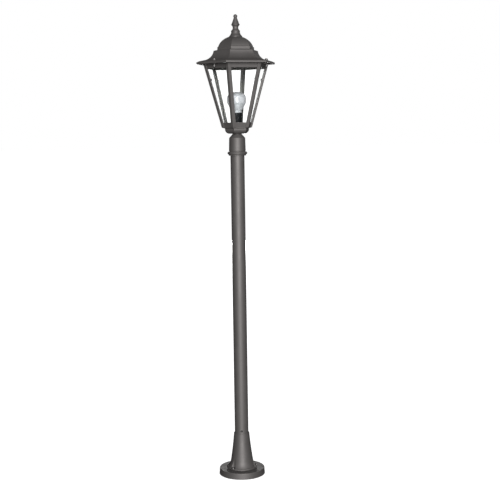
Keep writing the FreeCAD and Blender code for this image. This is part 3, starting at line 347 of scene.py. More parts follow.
def thread_tree():
    """Rolls a round thread into a turned shell: every point moves in by a wave that climbs one pitch a turn."""
    tree, given, result = open_group(
        "Rolled thread", "GeometryNodeTree",
        [("Shell", "NodeSocketGeometry", None), ("Pitch", "NodeSocketFloat", 0.0036),
         ("Depth", "NodeSocketFloat", 0.0009), ("Start Height", "NodeSocketFloat", 0.0),
         ("End Height", "NodeSocketFloat", 1.0), ("Run Out", "NodeSocketFloat", 0.002),
         ("Material", "NodeSocketMaterial", None)],
        [("Mesh", "NodeSocketGeometry")])
    position = add(tree, "GeometryNodeInputPosition").outputs[0]
    at = add(tree, "ShaderNodeSeparateXYZ", {0: position})
    height = at.outputs["Z"]
    turn = maths(tree, "ARCTAN2", at.outputs["Y"], at.outputs["X"])
    climb = maths(tree, "MULTIPLY", maths(tree, "DIVIDE", height, given.outputs["Pitch"]), 2 * math.pi)
    wave = maths(tree, "COSINE", maths(tree, "SUBTRACT", climb, turn))
    dip = maths(tree, "MULTIPLY_ADD", wave, 0.5, -0.5)
    run = given.outputs["Run Out"]
    rise = maths(tree, "DIVIDE", maths(tree, "SUBTRACT", height, given.outputs["Start Height"]), run)
    fall = maths(tree, "DIVIDE", maths(tree, "SUBTRACT", given.outputs["End Height"], height), run)
    ends = maths(tree, "MINIMUM", maths(tree, "MINIMUM", rise, fall), 1.0)
    share = maths(tree, "MAXIMUM", ends, 0.0)
    push = maths(tree, "MULTIPLY", maths(tree, "MULTIPLY", dip, share), given.outputs["Depth"])
    flat = add(tree, "ShaderNodeCombineXYZ", {"X": at.outputs["X"], "Y": at.outputs["Y"]}).outputs[0]
    outwards = add(tree, "ShaderNodeVectorMath", {0: flat}, operation="NORMALIZE").outputs[0]
    offset = add(tree, "ShaderNodeVectorMath", {0: outwards, "Scale": push}, operation="SCALE").outputs[0]
    shaped = add(
        tree, "GeometryNodeSetPosition", {"Geometry": given.outputs["Shell"], "Offset": offset}).outputs[0]
    return lead_out_mesh(tree, given, result, shaped)


def tree_named(name, build):
    """A node group, built the first time that it is asked for."""
    return bpy.data.node_groups.get(name) or build()


def run_nodes(mesh, tree, **values):
    """Puts a mesh through a Geometry Nodes tree and gives back the plain mesh."""
    bench = bpy.data.objects.new("bench", mesh)
    bpy.context.scene.collection.objects.link(bench)
    modifier = bench.modifiers.new("shape", "NODES")
    modifier.node_group = tree
    for name, value in values.items():
        modifier[identifier(tree, name.replace("_", " "))] = value
    return take_mesh(bench)


def take_mesh(bench):
    """The evaluated mesh of a helper object, which is then removed."""
    depsgraph = bpy.context.evaluated_depsgraph_get()
    made = bpy.data.meshes.new_from_object(bench.evaluated_get(depsgraph))
    spent = bench.data
    bpy.data.objects.remove(bench)
    if spent.users == 0:
        bpy.data.meshes.remove(spent)
    return made


# ---------------- drawing
def arc(start, middle, end, steps):
    """Points after the start on the arc through three points."""
    a, b, c = Vector(start), Vector(middle), Vector(end)
    twice = 2 * (a.x * (b.y - c.y) + b.x * (c.y - a.y) + c.x * (a.y - b.y))
    aa, bb, cc = a.length_squared, b.length_squared, c.length_squared
    centre = Vector((
        (aa * (b.y - c.y) + bb * (c.y - a.y) + cc * (a.y - b.y)) / twice,
        (aa * (c.x - b.x) + bb * (a.x - c.x) + cc * (b.x - a.x)) / twice,
    ))
    spoke = a - centre
    first = spoke.angle_signed(b - centre)
    whole = -first - (b - centre).angle_signed(c - centre)
    return [tuple(centre + rotated(spoke, whole * n / steps)) for n in range(1, steps + 1)]


def rotated(spoke, angle):
    """A flat vector turned anticlockwise."""
    cosine, sine = math.cos(angle), math.sin(angle)
    return Vector((spoke.x * cosine - spoke.y * sine, spoke.x * sine + spoke.y * cosine))


def rounded(points):
    """A closed outline with its corners rounded. Each point is (across, up, radius)."""
    made = []
    for n, (x, y, radius) in enumerate(points):
        if not radius:
            made.append((x, y))
            continue
        here = Vector((x, y))
        back = Vector(points[n - 1][:2]) - here
        ahead = Vector(points[(n + 1) % len(points)][:2]) - here
        half = back.angle(ahead) / 2
        cut = min(radius / math.tan(half), 0.45 * back.length, 0.45 * ahead.length)
        back.normalize()
        ahead.normalize()
        centre = here + (back + ahead).normalized() * (cut / math.cos(half))
        spoke = here + back * cut - centre
        whole = -spoke.angle_signed(here + ahead * cut - centre)
        for step in range(ROUND_STEPS + 1):
            made.append(tuple(centre + rotated(spoke, whole * step / ROUND_STEPS)))
    return made


class Outline:
    """A closed outline in millimetres: distance from the axis, height, and the corner's rounding."""

    def __init__(self, x, z, rounding=0.0):
        self.points = [(x, z, rounding)]

    def to(self, x, z, rounding=0.0):
        """A straight edge."""
        self.points.append((x, z, rounding))
        return self

    def through(self, middle, end, steps=ARC_STEPS):
        """A round edge that passes through a middle point."""
        self.points += [(x, z, 0.0) for x, z in arc(self.points[-1][:2], middle, end, steps)]
        return self

    def along(self, points):
        """An edge through many points."""
        self.points += [(x, z, 0.0) for x, z in points]
        return self

    def climb(self, x, foot, top, steps, count):
        """An upright edge with points at some steps of a height that is divided evenly."""
        return self.along([(x, foot + (top - foot) * n / count) for n in steps])

    def swept(self, material, mitre):
        """The outline run around the axis, with its mitred corners rounded to a radius in millimetres."""
        return self.run(material, mitre * MM, ROUND_STEPS)

    def turned(self, material):
        """The outline turned about the axis."""
        return self.run(material, 1.0, bpy.context.scene.lantern_sizes.turn_steps)

    def run(self, material, radius, steps):
        """The outline put through the sweep; it is closed unless both its ends lie on the axis."""
        points = rounded(self.points)
        on_axis = points[0][0] == 0 and points[-1][0] == 0
        drawn = mesh_of("outline", [(x * MM, 0, z * MM) for x, z in points], [])
        made = run_nodes(
            drawn, tree_named("Mitred sweep", sweep_tree), Closed=not on_axis, Sides=SIDES,
            Corner_Radius=radius, Corner_Steps=steps, Material=material)
        return face_out(made)


def mesh_of(name, points, faces):
    made = bpy.data.meshes.new(name)
    made.from_pydata(points, [], faces)
    made.update()
    return made


def face_out(mesh):
    """Turns a closed mesh's faces outwards."""
    work = bmesh.new()
    work.from_mesh(mesh)
    bmesh.ops.recalc_face_normals(work, faces=work.faces)
    work.to_mesh(mesh)
    work.free()
    return mesh


def loft(rings):
    """A closed solid through rings of as many points, in millimetres, with flat ends."""
    count = len(rings[0])
    points = [(x * MM, y * MM, z * MM) for ring in rings for x, y, z in ring]
    faces = [
        (row * count + n, row * count + (n + 1) % count, (row + 1) * count + (n + 1) % count, (row + 1) * count + n)
        for row in range(len(rings) - 1) for n in range(count)
    ]
    faces += [tuple(range(count)), tuple(range((len(rings) - 1) * count, len(rings) * count))]
    return face_out(mesh_of("loft", points, faces))


def circle(radius, count):
    """Points around the axis, the first on +X."""
    return [
        (radius * math.cos(2 * math.pi * n / count), radius * math.sin(2 * math.pi * n / count))
        for n in range(count)
    ]


def prism(count, radius, foot, top, x=0.0, bevel=0.0):
    """A straight prism of many sides on a place along +X, with its end edges broken."""
    levels = [(foot, bevel), (foot + bevel, 0), (top - bevel, 0), (top, bevel)] if bevel else [(foot, 0), (top, 0)]
    return loft([[(x + across, along, z) for across, along in circle(radius - inset, count)] for z, inset in levels])


def slab(plan, foot, top):
    """A straight piece between two heights over a plan, whose points are (x, y, rounding)."""
    return loft([level_ring(rounded(plan), z) for z in (foot, top)])


def paint(mesh, material):
    mesh.materials.clear()
    mesh.materials.append(material)
    return mesh


def moved(mesh, matrix):
    mesh.transform(matrix)
    return mesh


def around_z(angle):
    return Matrix.Rotation(angle, 4, "Z")


def radial(foot, z, angle):
    """Stands a piece that was drawn upright on the axis level, pointing away from the axis at a height."""
    lie = Matrix.Rotation(math.pi / 2, 4, "Y")
    return around_z(angle) @ Matrix.Translation((foot * MM, 0, z * MM)) @ lie


def joined(first, second):
    """Two meshes as one."""
    work = bmesh.new()
    for mesh in (first, second):
        work.from_mesh(mesh)
    work.to_mesh(first)
    work.free()
    bpy.data.meshes.remove(second)
    return first


def combined(mesh, tool, operation):
    """One mesh cut by or fused with another."""
    bench = bpy.data.objects.new("bench", mesh)
    cutter = bpy.data.objects.new("tool", tool)
    for helper in (bench, cutter):
        bpy.context.scene.collection.objects.link(helper)
    modifier = bench.modifiers.new("joint", "BOOLEAN")
    modifier.object = cutter
    modifier.operation = operation
    modifier.solver = "EXACT"
    made = take_mesh(bench)
    bpy.data.objects.remove(cutter)
    bpy.data.meshes.remove(tool)
    return made


def repeated(mesh, count, first_angle, material):
    """Copies of a piece that was drawn along +X, set around the axis as one mesh."""
    tree = tree_named("Repeat around", ring_tree)
    return run_nodes(mesh, tree, Count=count, First_Angle=first_angle, Material=material)


def at_screws(mesh, material):
    """Three copies of a piece, at the angles of the foot's and the roof's screws."""
    return repeated(mesh, 3, FIRST_SCREW, material)


def mark_edges(mesh):
    """Stores how sharp each narrow face's outward edges are, from 0 to 1, for the painted highlight on the edges of a
    finish. A broad face stays 0."""
    work = bmesh.new()
    work.from_mesh(mesh)
    sharp = []
    for face in work.faces:
        width = face.calc_area() / max(max(edge.calc_length() for edge in face.edges), MERGE)
        narrow = min(1.0, max(0.0, (BROAD - width) / (BROAD - NARROW)))
        angles = [edge.calc_face_angle_signed(0.0) for edge in face.edges if edge.is_manifold]
        sharp.append(narrow * min(1.0, max([0.0, *angles]) / EDGE_FULL))
    work.free()
    mesh.attributes.new("edge", "FLOAT", "FACE").data.foreach_set("value", sharp)


def place(name, mesh, nodes, slot):
    """Adds a finished mesh as a piece that stands for CAD nodes of one body, and hides them; the slot is not used."""
    mesh.name = name
    mark_edges(mesh)
    mesh.shade_smooth()
    mesh.set_sharp_from_angle(angle=SHARP_ANGLE)
    piece = bpy.data.objects.new(name, mesh)
    bpy.context.scene.collection.objects.link(piece)
    piece.modifiers.new("even shading", "WEIGHTED_NORMAL").keep_sharp = True
    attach(piece, body_of(nodes[0]))
    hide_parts(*nodes)


# ---------------- shader groups
def grain_group():
    """Fine grain and a slow mottle, from a position and the grain's size."""
    tree, given, result = open_group(
        "Fine grain", "ShaderNodeTree",
        [("Vector", "NodeSocketVector", None), ("Size", "NodeSocketFloat", 0.001),
         ("Mottle Size", "NodeSocketFloat", 0.04)],
        [("Height", "NodeSocketFloat"), ("Mottle", "NodeSocketFloat")])
    where = given.outputs["Vector"]
    fine = noise(tree, where, maths(tree, "DIVIDE", 1.0, given.outputs["Size"]), 3.0, 0.6)
    slow = noise(tree, where, maths(tree, "DIVIDE", 1.0, given.outputs["Mottle Size"]), 4.0, 0.55)
    return lead_out(tree, result, Height=fine, Mottle=slow)


def lead_out_mix(tree, given, result, area, patches, colour):
    """Leads out a group's colour, mixed with its other one where an area and its patches meet."""
    mask = maths(tree, "MULTIPLY", maths(tree, "MULTIPLY", area, patches), given.outputs["Amount"])
    mixed = mix_colour(tree, mask, given.outputs["Color"], given.outputs[colour])
    return lead_out(tree, result, Color=mixed, Mask=mask)


def edge_highlight_group():
    """Painted highlight: sharp edges painted a lighter colour, broken up so that the highlight isn't even."""
    tree, given, result = open_group(
        "Painted edge highlight", "ShaderNodeTree",
        [("Vector", "NodeSocketVector", None), ("Color", "NodeSocketColor", None),
         ("Highlight Color", "NodeSocketColor", None), ("Amount", "NodeSocketFloat", 0.3),
         ("Patch Size", "NodeSocketFloat", 0.012)],
        [("Color", "NodeSocketColor"), ("Mask", "NodeSocketFloat")])
    # painted highlight: the sharper a narrow face's edges, the lighter it is painted
    sharp = add(tree, "ShaderNodeAttribute", attribute_name="edge").outputs["Fac"]
    scale = maths(tree, "DIVIDE", 1.0, given.outputs["Patch Size"])
    broken = span(tree, noise(tree, given.outputs["Vector"], scale, 4.0, 0.65), 0.25, 1.0, 0.35, 0.7)
    return lead_out_mix(tree, given, result, sharp, broken, "Highlight Color")


def dust_group():
    """Dust that has settled on what faces up."""
    tree, given, result = open_group(
        "Settled dust", "ShaderNodeTree",
        [("Vector", "NodeSocketVector", None), ("Color", "NodeSocketColor", None),
         ("Dust Color", "NodeSocketColor", None), ("Amount", "NodeSocketFloat", 0.1)],
        [("Color", "NodeSocketColor"), ("Mask", "NodeSocketFloat")])
    normal = add(tree, "ShaderNodeNewGeometry").outputs["Normal"]
    up = add(tree, "ShaderNodeSeparateXYZ", {0: normal}).outputs["Z"]
    level = span(tree, up, 0.0, 1.0, 0.45, 1.0)
    patchy = span(tree, noise(tree, given.outputs["Vector"], 70.0, 5.0, 0.7), 0.0, 1.0, 0.3, 0.75)
    return lead_out_mix(tree, given, result, level, patchy, "Dust Color")


def group(tree, name, build, inputs):
    """A group's node in a material."""
    return add(tree, "ShaderNodeGroup", inputs, node_tree=tree_named(name, build))


# ---------------- materials
def rgba(colour, factor=1.0):
    return (*[min(1.0, c * factor) for c in colour], 1.0)


def open_material(name, **sockets):
    """A material with a Principled shader, whose plain values are set on its own sockets, and the piece's
    own coordinates."""
    made = bpy.data.materials.new(name)
    made.use_nodes = True
    tree = made.node_tree
    tree.nodes.clear()
    shader = add(tree, "ShaderNodeBsdfPrincipled", {key.replace("_", " "): value for key, value in sockets.items()})
    add(tree, "ShaderNodeOutputMaterial", {"Surface": shader.outputs[0]})
    where = add(tree, "ShaderNodeTexCoord").outputs["Object"]
    return made, tree, shader, where


def bump(tree, shader, height, depth, strength=1.0):
    """Feeds a height to the shader's normal; depth is in millimetres."""
    made = add(tree, "ShaderNodeBump", {"Strength": strength, "Distance": depth * MM, "Height": height})
    tree.links.new(made.outputs[0], shader.inputs["Normal"])


def powder_coat(name, grain_factor, depth, tone):
    """Semi-matte textured powder coat: fine grain, a slow mottle, a painted highlight on its sharp edges, and dust.
    """
    chosen = bpy.context.scene.lantern_finish
    made, tree, shader, where = open_material(name, IOR=1.5, Specular_IOR_Level=0.5, Metallic=0.5)
    centred = add(tree, "ShaderNodeMapping", {"Vector": where, "Location": (0.31, 0.17, 0.0)}).outputs[0]
    grain = group(
        tree, "Fine grain", grain_group,
        {"Vector": centred, "Size": chosen.grain * grain_factor, "Mottle Size": 0.045})
    base = mix_colour(tree, grain.outputs["Mottle"], rgba(chosen.coat, tone * 0.9), rgba(chosen.coat, tone * 1.1))
    speckled = mix_colour(
        tree, span(tree, grain.outputs["Height"], 0.0, 0.5, 0.42, 0.66), base, rgba(chosen.coat, tone * 1.35))
    # Painted highlight: sharp narrow edges are painted in a much lighter coat colour.
    edge_lit = group(
        tree, "Painted edge highlight", edge_highlight_group,
        {"Vector": centred, "Color": speckled, "Highlight Color": rgba(chosen.coat, tone * 2.1), "Amount": 0.35})
    dusty = group(
        tree, "Settled dust", dust_group,
        {"Vector": centred, "Color": edge_lit.outputs["Color"], "Dust Color": (0.2, 0.19, 0.175, 1.0), "Amount": 0.1})
    tree.links.new(dusty.outputs["Color"], shader.inputs["Base Color"])
    rough = chosen.coat_roughness
    gloss = span(tree, grain.outputs["Mottle"], rough - 0.05, rough + 0.05)
    softer = maths(tree, "MULTIPLY_ADD", dusty.outputs["Mask"], 1.2, gloss)
    edge_gloss = maths(tree, "MULTIPLY_ADD", edge_lit.outputs["Mask"], -0.2, softer)
    tree.links.new(edge_gloss, shader.inputs["Roughness"])
    bump(tree, shader, grain.outputs["Height"], depth, 0.6)
    arrange(tree)
    return made


def clear_glass(name):
    """Float glass: colourless across the pane, greenish at its ground edges, with a few faint smears."""
    made, tree, shader, where = open_material(name, Metallic=0.0, Transmission_Weight=1.0, IOR=1.12)
    smear = noise(tree, where, 26.0, 5.0, 0.7, 0.8)
    sharp = add(tree, "ShaderNodeAttribute", attribute_name="edge").outputs["Fac"]
    tint = mix_colour(tree, sharp, (0.995, 1.0, 0.998, 1.0), (0.8, 0.9, 0.86, 1.0))
    tree.links.new(tint, shader.inputs["Base Color"])
    tree.links.new(
        maths(tree, "MULTIPLY_ADD", sharp, 0.15, span(tree, smear, 0.0, 0.015, 0.5, 0.8)), shader.inputs["Roughness"])
    through = add(tree, "ShaderNodeBsdfTransparent", {"Color": (0.95, 0.97, 0.965, 1.0)}).outputs[0]
    lamp_ray = add(tree, "ShaderNodeLightPath").outputs["Is Shadow Ray"]
    mixed = add(tree, "ShaderNodeMixShader", {0: lamp_ray, 1: shader.outputs[0], 2: through}).outputs[0]
    output = next(n for n in tree.nodes if n.type == "OUTPUT_MATERIAL")
    tree.links.new(mixed, output.inputs["Surface"])
    arrange(tree)
    return made


def metal(name, colour, rough, grain_mm, tarnish, rub=0.25):
    """Bare or plated metal with fine scratches, slow tarnish and a painted highlight on its edges."""
    made, tree, shader, where = open_material(name, Metallic=1.0)
    grain = group(
        tree, "Fine grain", grain_group, {"Vector": where, "Size": grain_mm * MM, "Mottle Size": 0.006})
    base = mix_colour(
        tree, span(tree, grain.outputs["Mottle"], 0.0, 1.0, 0.38, 0.66), rgba(colour), rgba(tarnish))
    # Painted highlight: edges are painted brighter than the metal.
    edge_lit = group(
        tree, "Painted edge highlight", edge_highlight_group,
        {"Vector": where, "Color": base, "Highlight Color": rgba(colour, 1.25), "Amount": rub, "Patch Size": 0.002})
    tree.links.new(edge_lit.outputs["Color"], shader.inputs["Base Color"])
    tree.links.new(span(tree, grain.outputs["Height"], rough - 0.07, rough + 0.09), shader.inputs["Roughness"])
    bump(tree, shader, grain.outputs["Height"], 0.02, 0.5)
    arrange(tree)
    return made


def moulding(name, colour, rough, grain_mm=0.5, depth=0.01, lighter=1.2, **sockets):
    """Moulded plastic, rubber or glazed stuff: an even colour with a slight mottle and a faint skin."""
    made, tree, shader, where = open_material(name, **sockets)
    grain = group(tree, "Fine grain", grain_group, {"Vector": where, "Size": grain_mm * MM, "Mottle Size": 0.012})
    base = mix_colour(tree, grain.outputs["Mottle"], rgba(colour, 0.92), rgba(colour, lighter))
    dusty = group(
        tree, "Settled dust", dust_group,
        {"Vector": where, "Color": base, "Dust Color": (0.42, 0.4, 0.37, 1.0), "Amount": 0.06})
    tree.links.new(dusty.outputs["Color"], shader.inputs["Base Color"])
    tree.links.new(span(tree, grain.outputs["Mottle"], rough - 0.04, rough + 0.05), shader.inputs["Roughness"])
    bump(tree, shader, grain.outputs["Height"], depth, 0.5)
    arrange(tree)
    return made


def opal(name):
    """The diffuser's plastic, in the colour that the user chose."""
    colour = bpy.context.scene.lantern_finish.opal
    return moulding(name, colour, 0.34, 0.6, 0.006, 1.03, IOR=1.49, Coat_Weight=0.2, Coat_Roughness=0.12)


def lamp_moulding(name):
    """The lamp housing's plastic."""
    return moulding(name, (0.5, 0.51, 0.53), 0.38, 0.5, 0.008, 1.04, IOR=1.49)


def holder_moulding(name):
    """The lampholder's plastic, in the colour that the user chose."""
    colour = bpy.context.scene.lantern_finish.holder
    return moulding(name, colour, 0.62, 0.5, 0.01, 1.5, IOR=1.5, Specular_IOR_Level=0.22)


# How each material is made: a function, and its values after the name.
MATERIALS = {
    "coat on castings": (powder_coat, 1.0, 0.09, 1.0),
    "coat on tube": (powder_coat, 0.75, 0.06, 1.04),
    "clear glass": (clear_glass,),
    "opal diffuser": (opal,),
    "lamp moulding": (lamp_moulding,),
    "black moulding": (holder_moulding,),
    "stainless steel": (metal, (0.34, 0.33, 0.325), 0.48, 0.35, (0.26, 0.25, 0.245)),
    "blackened steel": (metal, (0.1, 0.097, 0.095), 0.5, 0.4, (0.06, 0.058, 0.057), 0.5),
    "nickel shell": (metal, (0.66, 0.65, 0.62), 0.25, 0.5, (0.55, 0.53, 0.48)),
    "zinc plate": (metal, (0.6, 0.61, 0.63), 0.36, 0.4, (0.58, 0.55, 0.45)),
    "contact brass": (metal, (0.72, 0.52, 0.24), 0.3, 0.35, (0.5, 0.34, 0.14)),
    "grommet rubber": (moulding, (0.02, 0.02, 0.02), 0.75, 0.4, 0.03),
    "black glaze": (moulding, (0.03, 0.03, 0.03), 0.15, 0.8, 0.01),
    "board lacquer": (moulding, (0.8, 0.8, 0.78), 0.4, 0.3, 0.01),
    "phosphor": (moulding, (0.8, 0.62, 0.1), 0.5, 0.25, 0.02),
    "circuit board": (moulding, (0.03, 0.18, 0.07), 0.45, 0.4, 0.02),
}

# CAD nodes that keep their own mesh, and the material that each is given.
KEPT_NODES = {
    "cable_grommet": "grommet rubber",
    "nipple": "zinc plate",
    "nipple_nut": "zinc plate",
    "finial_stud": "zinc plate",
    "finial_nut": "zinc plate",
    "lampholder_contacts": "contact brass",
    "bulb_tip": "contact brass",
    "lampholder_screws": "stainless steel",
    "earth_screw": "stainless steel",
    "bulb_insulator": "black glaze",
    "bulb_board": "board lacquer",
    "bulb_chips": "phosphor",
    "bulb_driver": "circuit board",
}


def finish(name):
    """A material, made the first time that it is asked for."""
    build, *values = MATERIALS[name]
    return bpy.data.materials.get(name) or build(name, *values)


# ---------------- shared sizes
POLE_SCREW_ANGLE = math.radians(-106)
SET_SCREW_ANGLES = (math.radians(30), math.radians(150))
FOOT_SCREW_RING = 48.0
ROOF_SCREW_RING = 109.0
EAVE_FOOT = high("top_rail") + 1.5
EAVE_LIP = 5.5
EAVE_DRIP = EAVE_FOOT - low("roof")  # the lip hangs this far below the eave
EAVE_DISTANCE = -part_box("roof")[0].y / MM
COVE_START = EAVE_DISTANCE - 29.1
COVE_START_RISE = 11.8       # rises are counted from the lip's lower edge
COVE_TOP = COVE_START - 25.2
DOME_DISTANCE = COVE_TOP - 13.5


# ---------------- shapes of the cage
POST_PROUD = 3.0             # posts stand this far outside the rails
INNER_DEPTH = 5.5            # from the posts' outer faces in to the inside of the rails
POST_LEG = 11.0


def cage_slope():
    """Lean of the cage's flat sides: distance gained per height, and the front rail's distance at a height."""
    foot, head = high("bottom_rail"), high("top_rail")
    near, far = -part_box("bottom_rail")[0].y / MM, -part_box("top_rail")[0].y / MM
    return (far - near) / (head - foot), near, foot


def face_distance(z, depth):
    """Distance from the axis to the leaning hexagon's flat side, a depth inside the posts' outer faces."""
    lean, near, foot = cage_slope()
    return near + lean * (z - foot) - (depth - POST_PROUD) / math.cos(math.atan(lean))


def side_half(z, depth):
    """Half the length of a flat side."""
    return face_distance(z, depth) * math.tan(HALF_SIDE)


def angle_section(z, outer, inner, leg_end, rounding):
    """Section through an angle in the corner on +X, between two depths, with rounded edges."""
    legs = [
        (away * SIDE_COS + leg_end * SIDE_SIN, away * SIDE_SIN - leg_end * SIDE_COS)
        for away in (face_distance(z, outer), face_distance(z, inner))
    ]
    section = [(face_distance(z, outer) / SIDE_COS, 0.0, 1.5 * rounding)]
    section += [(*legs[0], rounding), (*legs[1], rounding / 2)]
    section.append((face_distance(z, inner) / SIDE_COS, 0.0, rounding))
    section += [(legs[1][0], -legs[1][1], rounding / 2), (legs[0][0], -legs[0][1], rounding)]
    return rounded(section)


def level_ring(points, z):
    return [(x, y, z) for x, y in points]


def screw(head_radius, head_height, length, key, dome=0.35):
    """A screw that stands on the axis with its seat at zero: shank, rounded head and hexagon socket."""
    turns = 24
    rim = head_height * (1 - dome)
    rings = [
        (0.5 * head_radius, -length), (0.55 * head_radius, -length + 0.4), (0.55 * head_radius, 0.0),
        (head_radius - 0.25, 0.0), (head_radius, 0.25), (head_radius, rim),
    ]
    bend = head_height - rim
    for step in range(1, 4):
        angle = math.pi / 2 * step / 3
        rings.append((head_radius - bend * (1 - math.cos(angle)), rim + bend * math.sin(angle)))
    sides = [level_ring(circle(r, turns), z) for r, z in rings]
    return combined(loft(sides), prism(SIDES, key, 0.45 * head_height, 2 * head_height), "DIFFERENCE")


def washer(radius, hole, thickness):
    """A washer that stands on the axis with its foot at zero."""
    turns = 32
    rounding = 0.2
    section = rounded([
        (hole, 0.0, 0.0), (radius, 0.0, rounding), (radius, thickness, rounding), (hole, thickness, 0.0)])
    points = [
        (r * MM * math.cos(2 * math.pi * n / turns), r * MM * math.sin(2 * math.pi * n / turns), z * MM)
        for n in range(turns) for r, z in section
    ]
    count = len(section)
    faces = [
        (n * count + k, n * count + (k + 1) % count,
         (n + 1) % turns * count + (k + 1) % count, (n + 1) % turns * count + k)
        for n in range(turns) for k in range(count)
    ]
    return face_out(mesh_of("washer", points, faces))


def slope_height(distance):
    """Height of the roof's gentle slope above the eave's lip, at a distance from the axis."""
    fall = (COVE_START_RISE - EAVE_LIP) / (EAVE_DISTANCE - COVE_START)
    return EAVE_FOOT + EAVE_LIP + (EAVE_DISTANCE - distance) * fall


# ---------------- base and pole
class LANTERN_OT_base_plate(Operator):
    """Round base casting, hollow underneath, with bosses for its anchors and for the foot's screws"""

    bl_idname = "lantern.base_plate"
    bl_label = "Base plate"

    def execute(self, context):
        radius, top = reach("base_plate"), high("base_plate")
        coat = finish("coat on castings")
        plate = (
            Outline(12.5, 0)
            .to(19.0, 0, 0.8).to(19.0, top - 6.5, 2.0).to(radius - 7.0, top - 6.5, 2.0).to(radius - 7.0, 0, 0.8)
            .to(radius, 0, 0.9).to(radius - 1.2, top, 1.7).to(9.0, top, 0.5).to(9.0, top - 6.5)
            .to(12.5, top - 6.5)
            .turned(coat)
        )
        for ring, boss, hole, first in ((28.0, 9.5, 4.5, FRONT), (FOOT_SCREW_RING, 8.0, 3.05, FIRST_SCREW)):
            bosses = repeated(prism(32, boss, 0, top - 4.0, ring, 0.6), 3, first, coat)
            plate = combined(plate, bosses, "UNION")
            plate = combined(plate, repeated(prism(24, hole, -5, top + 5, ring), 3, first, coat), "DIFFERENCE")
        place("base_casting", paint(plate, coat), ["base_plate"], "cast_coat")
        return {"FINISHED"}


class LANTERN_OT_foot_cone(Operator):
    """Bell-shaped foot casting with a banded flange, notched for its three screws"""

    bl_idname = "lantern.foot_cone"
    bl_label = "Foot"

    def execute(self, context):
        coat = finish("coat on castings")
        foot, top = low("foot_cone"), high("foot_cone")
        rim = top - 25.0
        flange = reach("foot_cone")
        socket, spigot = reach("pole_tube") + 0.1, reach("pole_tube") - 2.6
        flare = foot + 28.5
        waist = (34.25 - 0.9, (flare + rim) / 2)
        casting = (
            Outline(36.6, foot)
            .to(flange - 3.0, foot, 0.3).to(flange - 3.0, foot + 1.6, 0.3).to(flange, foot + 2.0, 0.6)
            .to(flange, foot + 6.4, 1.5).to(flange - 3.0, foot + 6.9, 0.5).to(flange - 3.4, foot + 5.3, 0.3)
            .to(flange - 5.2, foot + 5.3, 0.3)
            .through((flange - 9.9, foot + 13.4), (40.6, flare))
            .through(waist, (28.2, rim - 1.6))
            .to(28.2, rim - 0.3, 0.3).to(27.2, rim, 0.3).to(26.4, rim - 1.4, 0.2)
            .to(socket, rim - 1.4, 0.1).to(socket, rim - 60.0).to(spigot, rim - 60.0)
            .to(spigot, top, 0.6).to(spigot - 5.0, top, 0.6).to(spigot - 5.0, rim - 68.0)
            .to(31.6, rim - 68.0, 2.0).to(36.6, flare, 2.0)
            .turned(coat)
        )
        notch = prism(36, 9.4, foot + 3.4, rim, 48.4)
        slot = prism(24, 3.1, foot - 5, rim, FOOT_SCREW_RING)
        for cut in (notch, slot):
            casting = combined(casting, at_screws(cut, coat), "DIFFERENCE")
        place("foot_casting", paint(casting, coat), ["foot_cone"], "cast_coat")
        return {"FINISHED"}


class LANTERN_OT_foot_screws(Operator):
    """Three screws with washers that hold the foot down, in its notches"""

    bl_idname = "lantern.foot_screws"
    bl_label = "Foot screws"

    def execute(self, context):
        steel = finish("stainless steel")
        seat = low("foot_washers")
        at = FOOT_SCREW_RING * MM
        ring = moved(washer(6.2, 3.1, 1.2), Matrix.Translation((at, 0, seat * MM)))
        bolt = moved(screw(5.0, 3.6, 16.8, 2.7), Matrix.Translation((at, 0, (seat + 1.2) * MM)))
        fixings = at_screws(joined(ring, bolt), steel)
        place("foot_fixings", fixings, ["foot_screws", "foot_washers"], "screw_steel")
        return {"FINISHED"}


class LANTERN_OT_pole(Operator):
    """Straight round pole, with its ends broken and a hole for the locking screw"""

    bl_idname = "lantern.pole"
    bl_label = "Pole"

    def execute(self, context):
        coat = finish("coat on tube")
        radius, foot, top = reach("pole_tube"), low("pole_tube"), high("pole_tube")
        screw_z = halfway("pole_screw")
        tube = (
            Outline(radius - 2.5, foot, 0.4)
            .to(radius, foot, 0.5).to(radius, screw_z - 8).to(radius, screw_z + 8).to(radius, (foot + top) / 2)
            .to(radius, top, 0.5).to(radius - 2.5, top, 0.4)
            .turned(coat)
        )
        hole = moved(prism(24, 2.6, 0, 2 * radius), radial(0, screw_z, POLE_SCREW_ANGLE))
        place("pole", paint(combined(tube, hole, "DIFFERENCE"), coat), ["pole_tube"], "tube_coat")
        return {"FINISHED"}


class LANTERN_OT_lock_screws(Operator):
    """Locking screw in the pole's foot and the two set screws in the collar"""

    bl_idname = "lantern.lock_screws"
    bl_label = "Locking screws"

    def execute(self, context):
        steel = finish("blackened steel")
        radius = reach("pole_tube")
        height = halfway("pole_screw")
        lock = moved(screw(4.0, 2.2, 7.5, 1.6, 0.75), radial(radius, height, POLE_SCREW_ANGLE))
        place("pole_lock_screw", paint(lock, steel), ["pole_screw"], "dark_steel")
        height = halfway("collar_grub_screws")
        plug = combined(prism(24, 2.5, 0, 3.8, 0, 0.3), prism(SIDES, 1.45, 1.6, 5), "DIFFERENCE")
        plug = moved(plug, radial(radius, height, 0))
        pair = repeated(plug, 3, FRONT, steel)
        work = bmesh.new()
        work.from_mesh(pair)
        front = [v for v in work.verts if v.co.y < -radius * MM * 0.9]
        bmesh.ops.delete(work, geom=front, context="VERTS")
        work.to_mesh(pair)
        work.free()
        place("collar_set_screws", pair, ["collar_grub_screws"], "dark_steel")
        return {"FINISHED"}


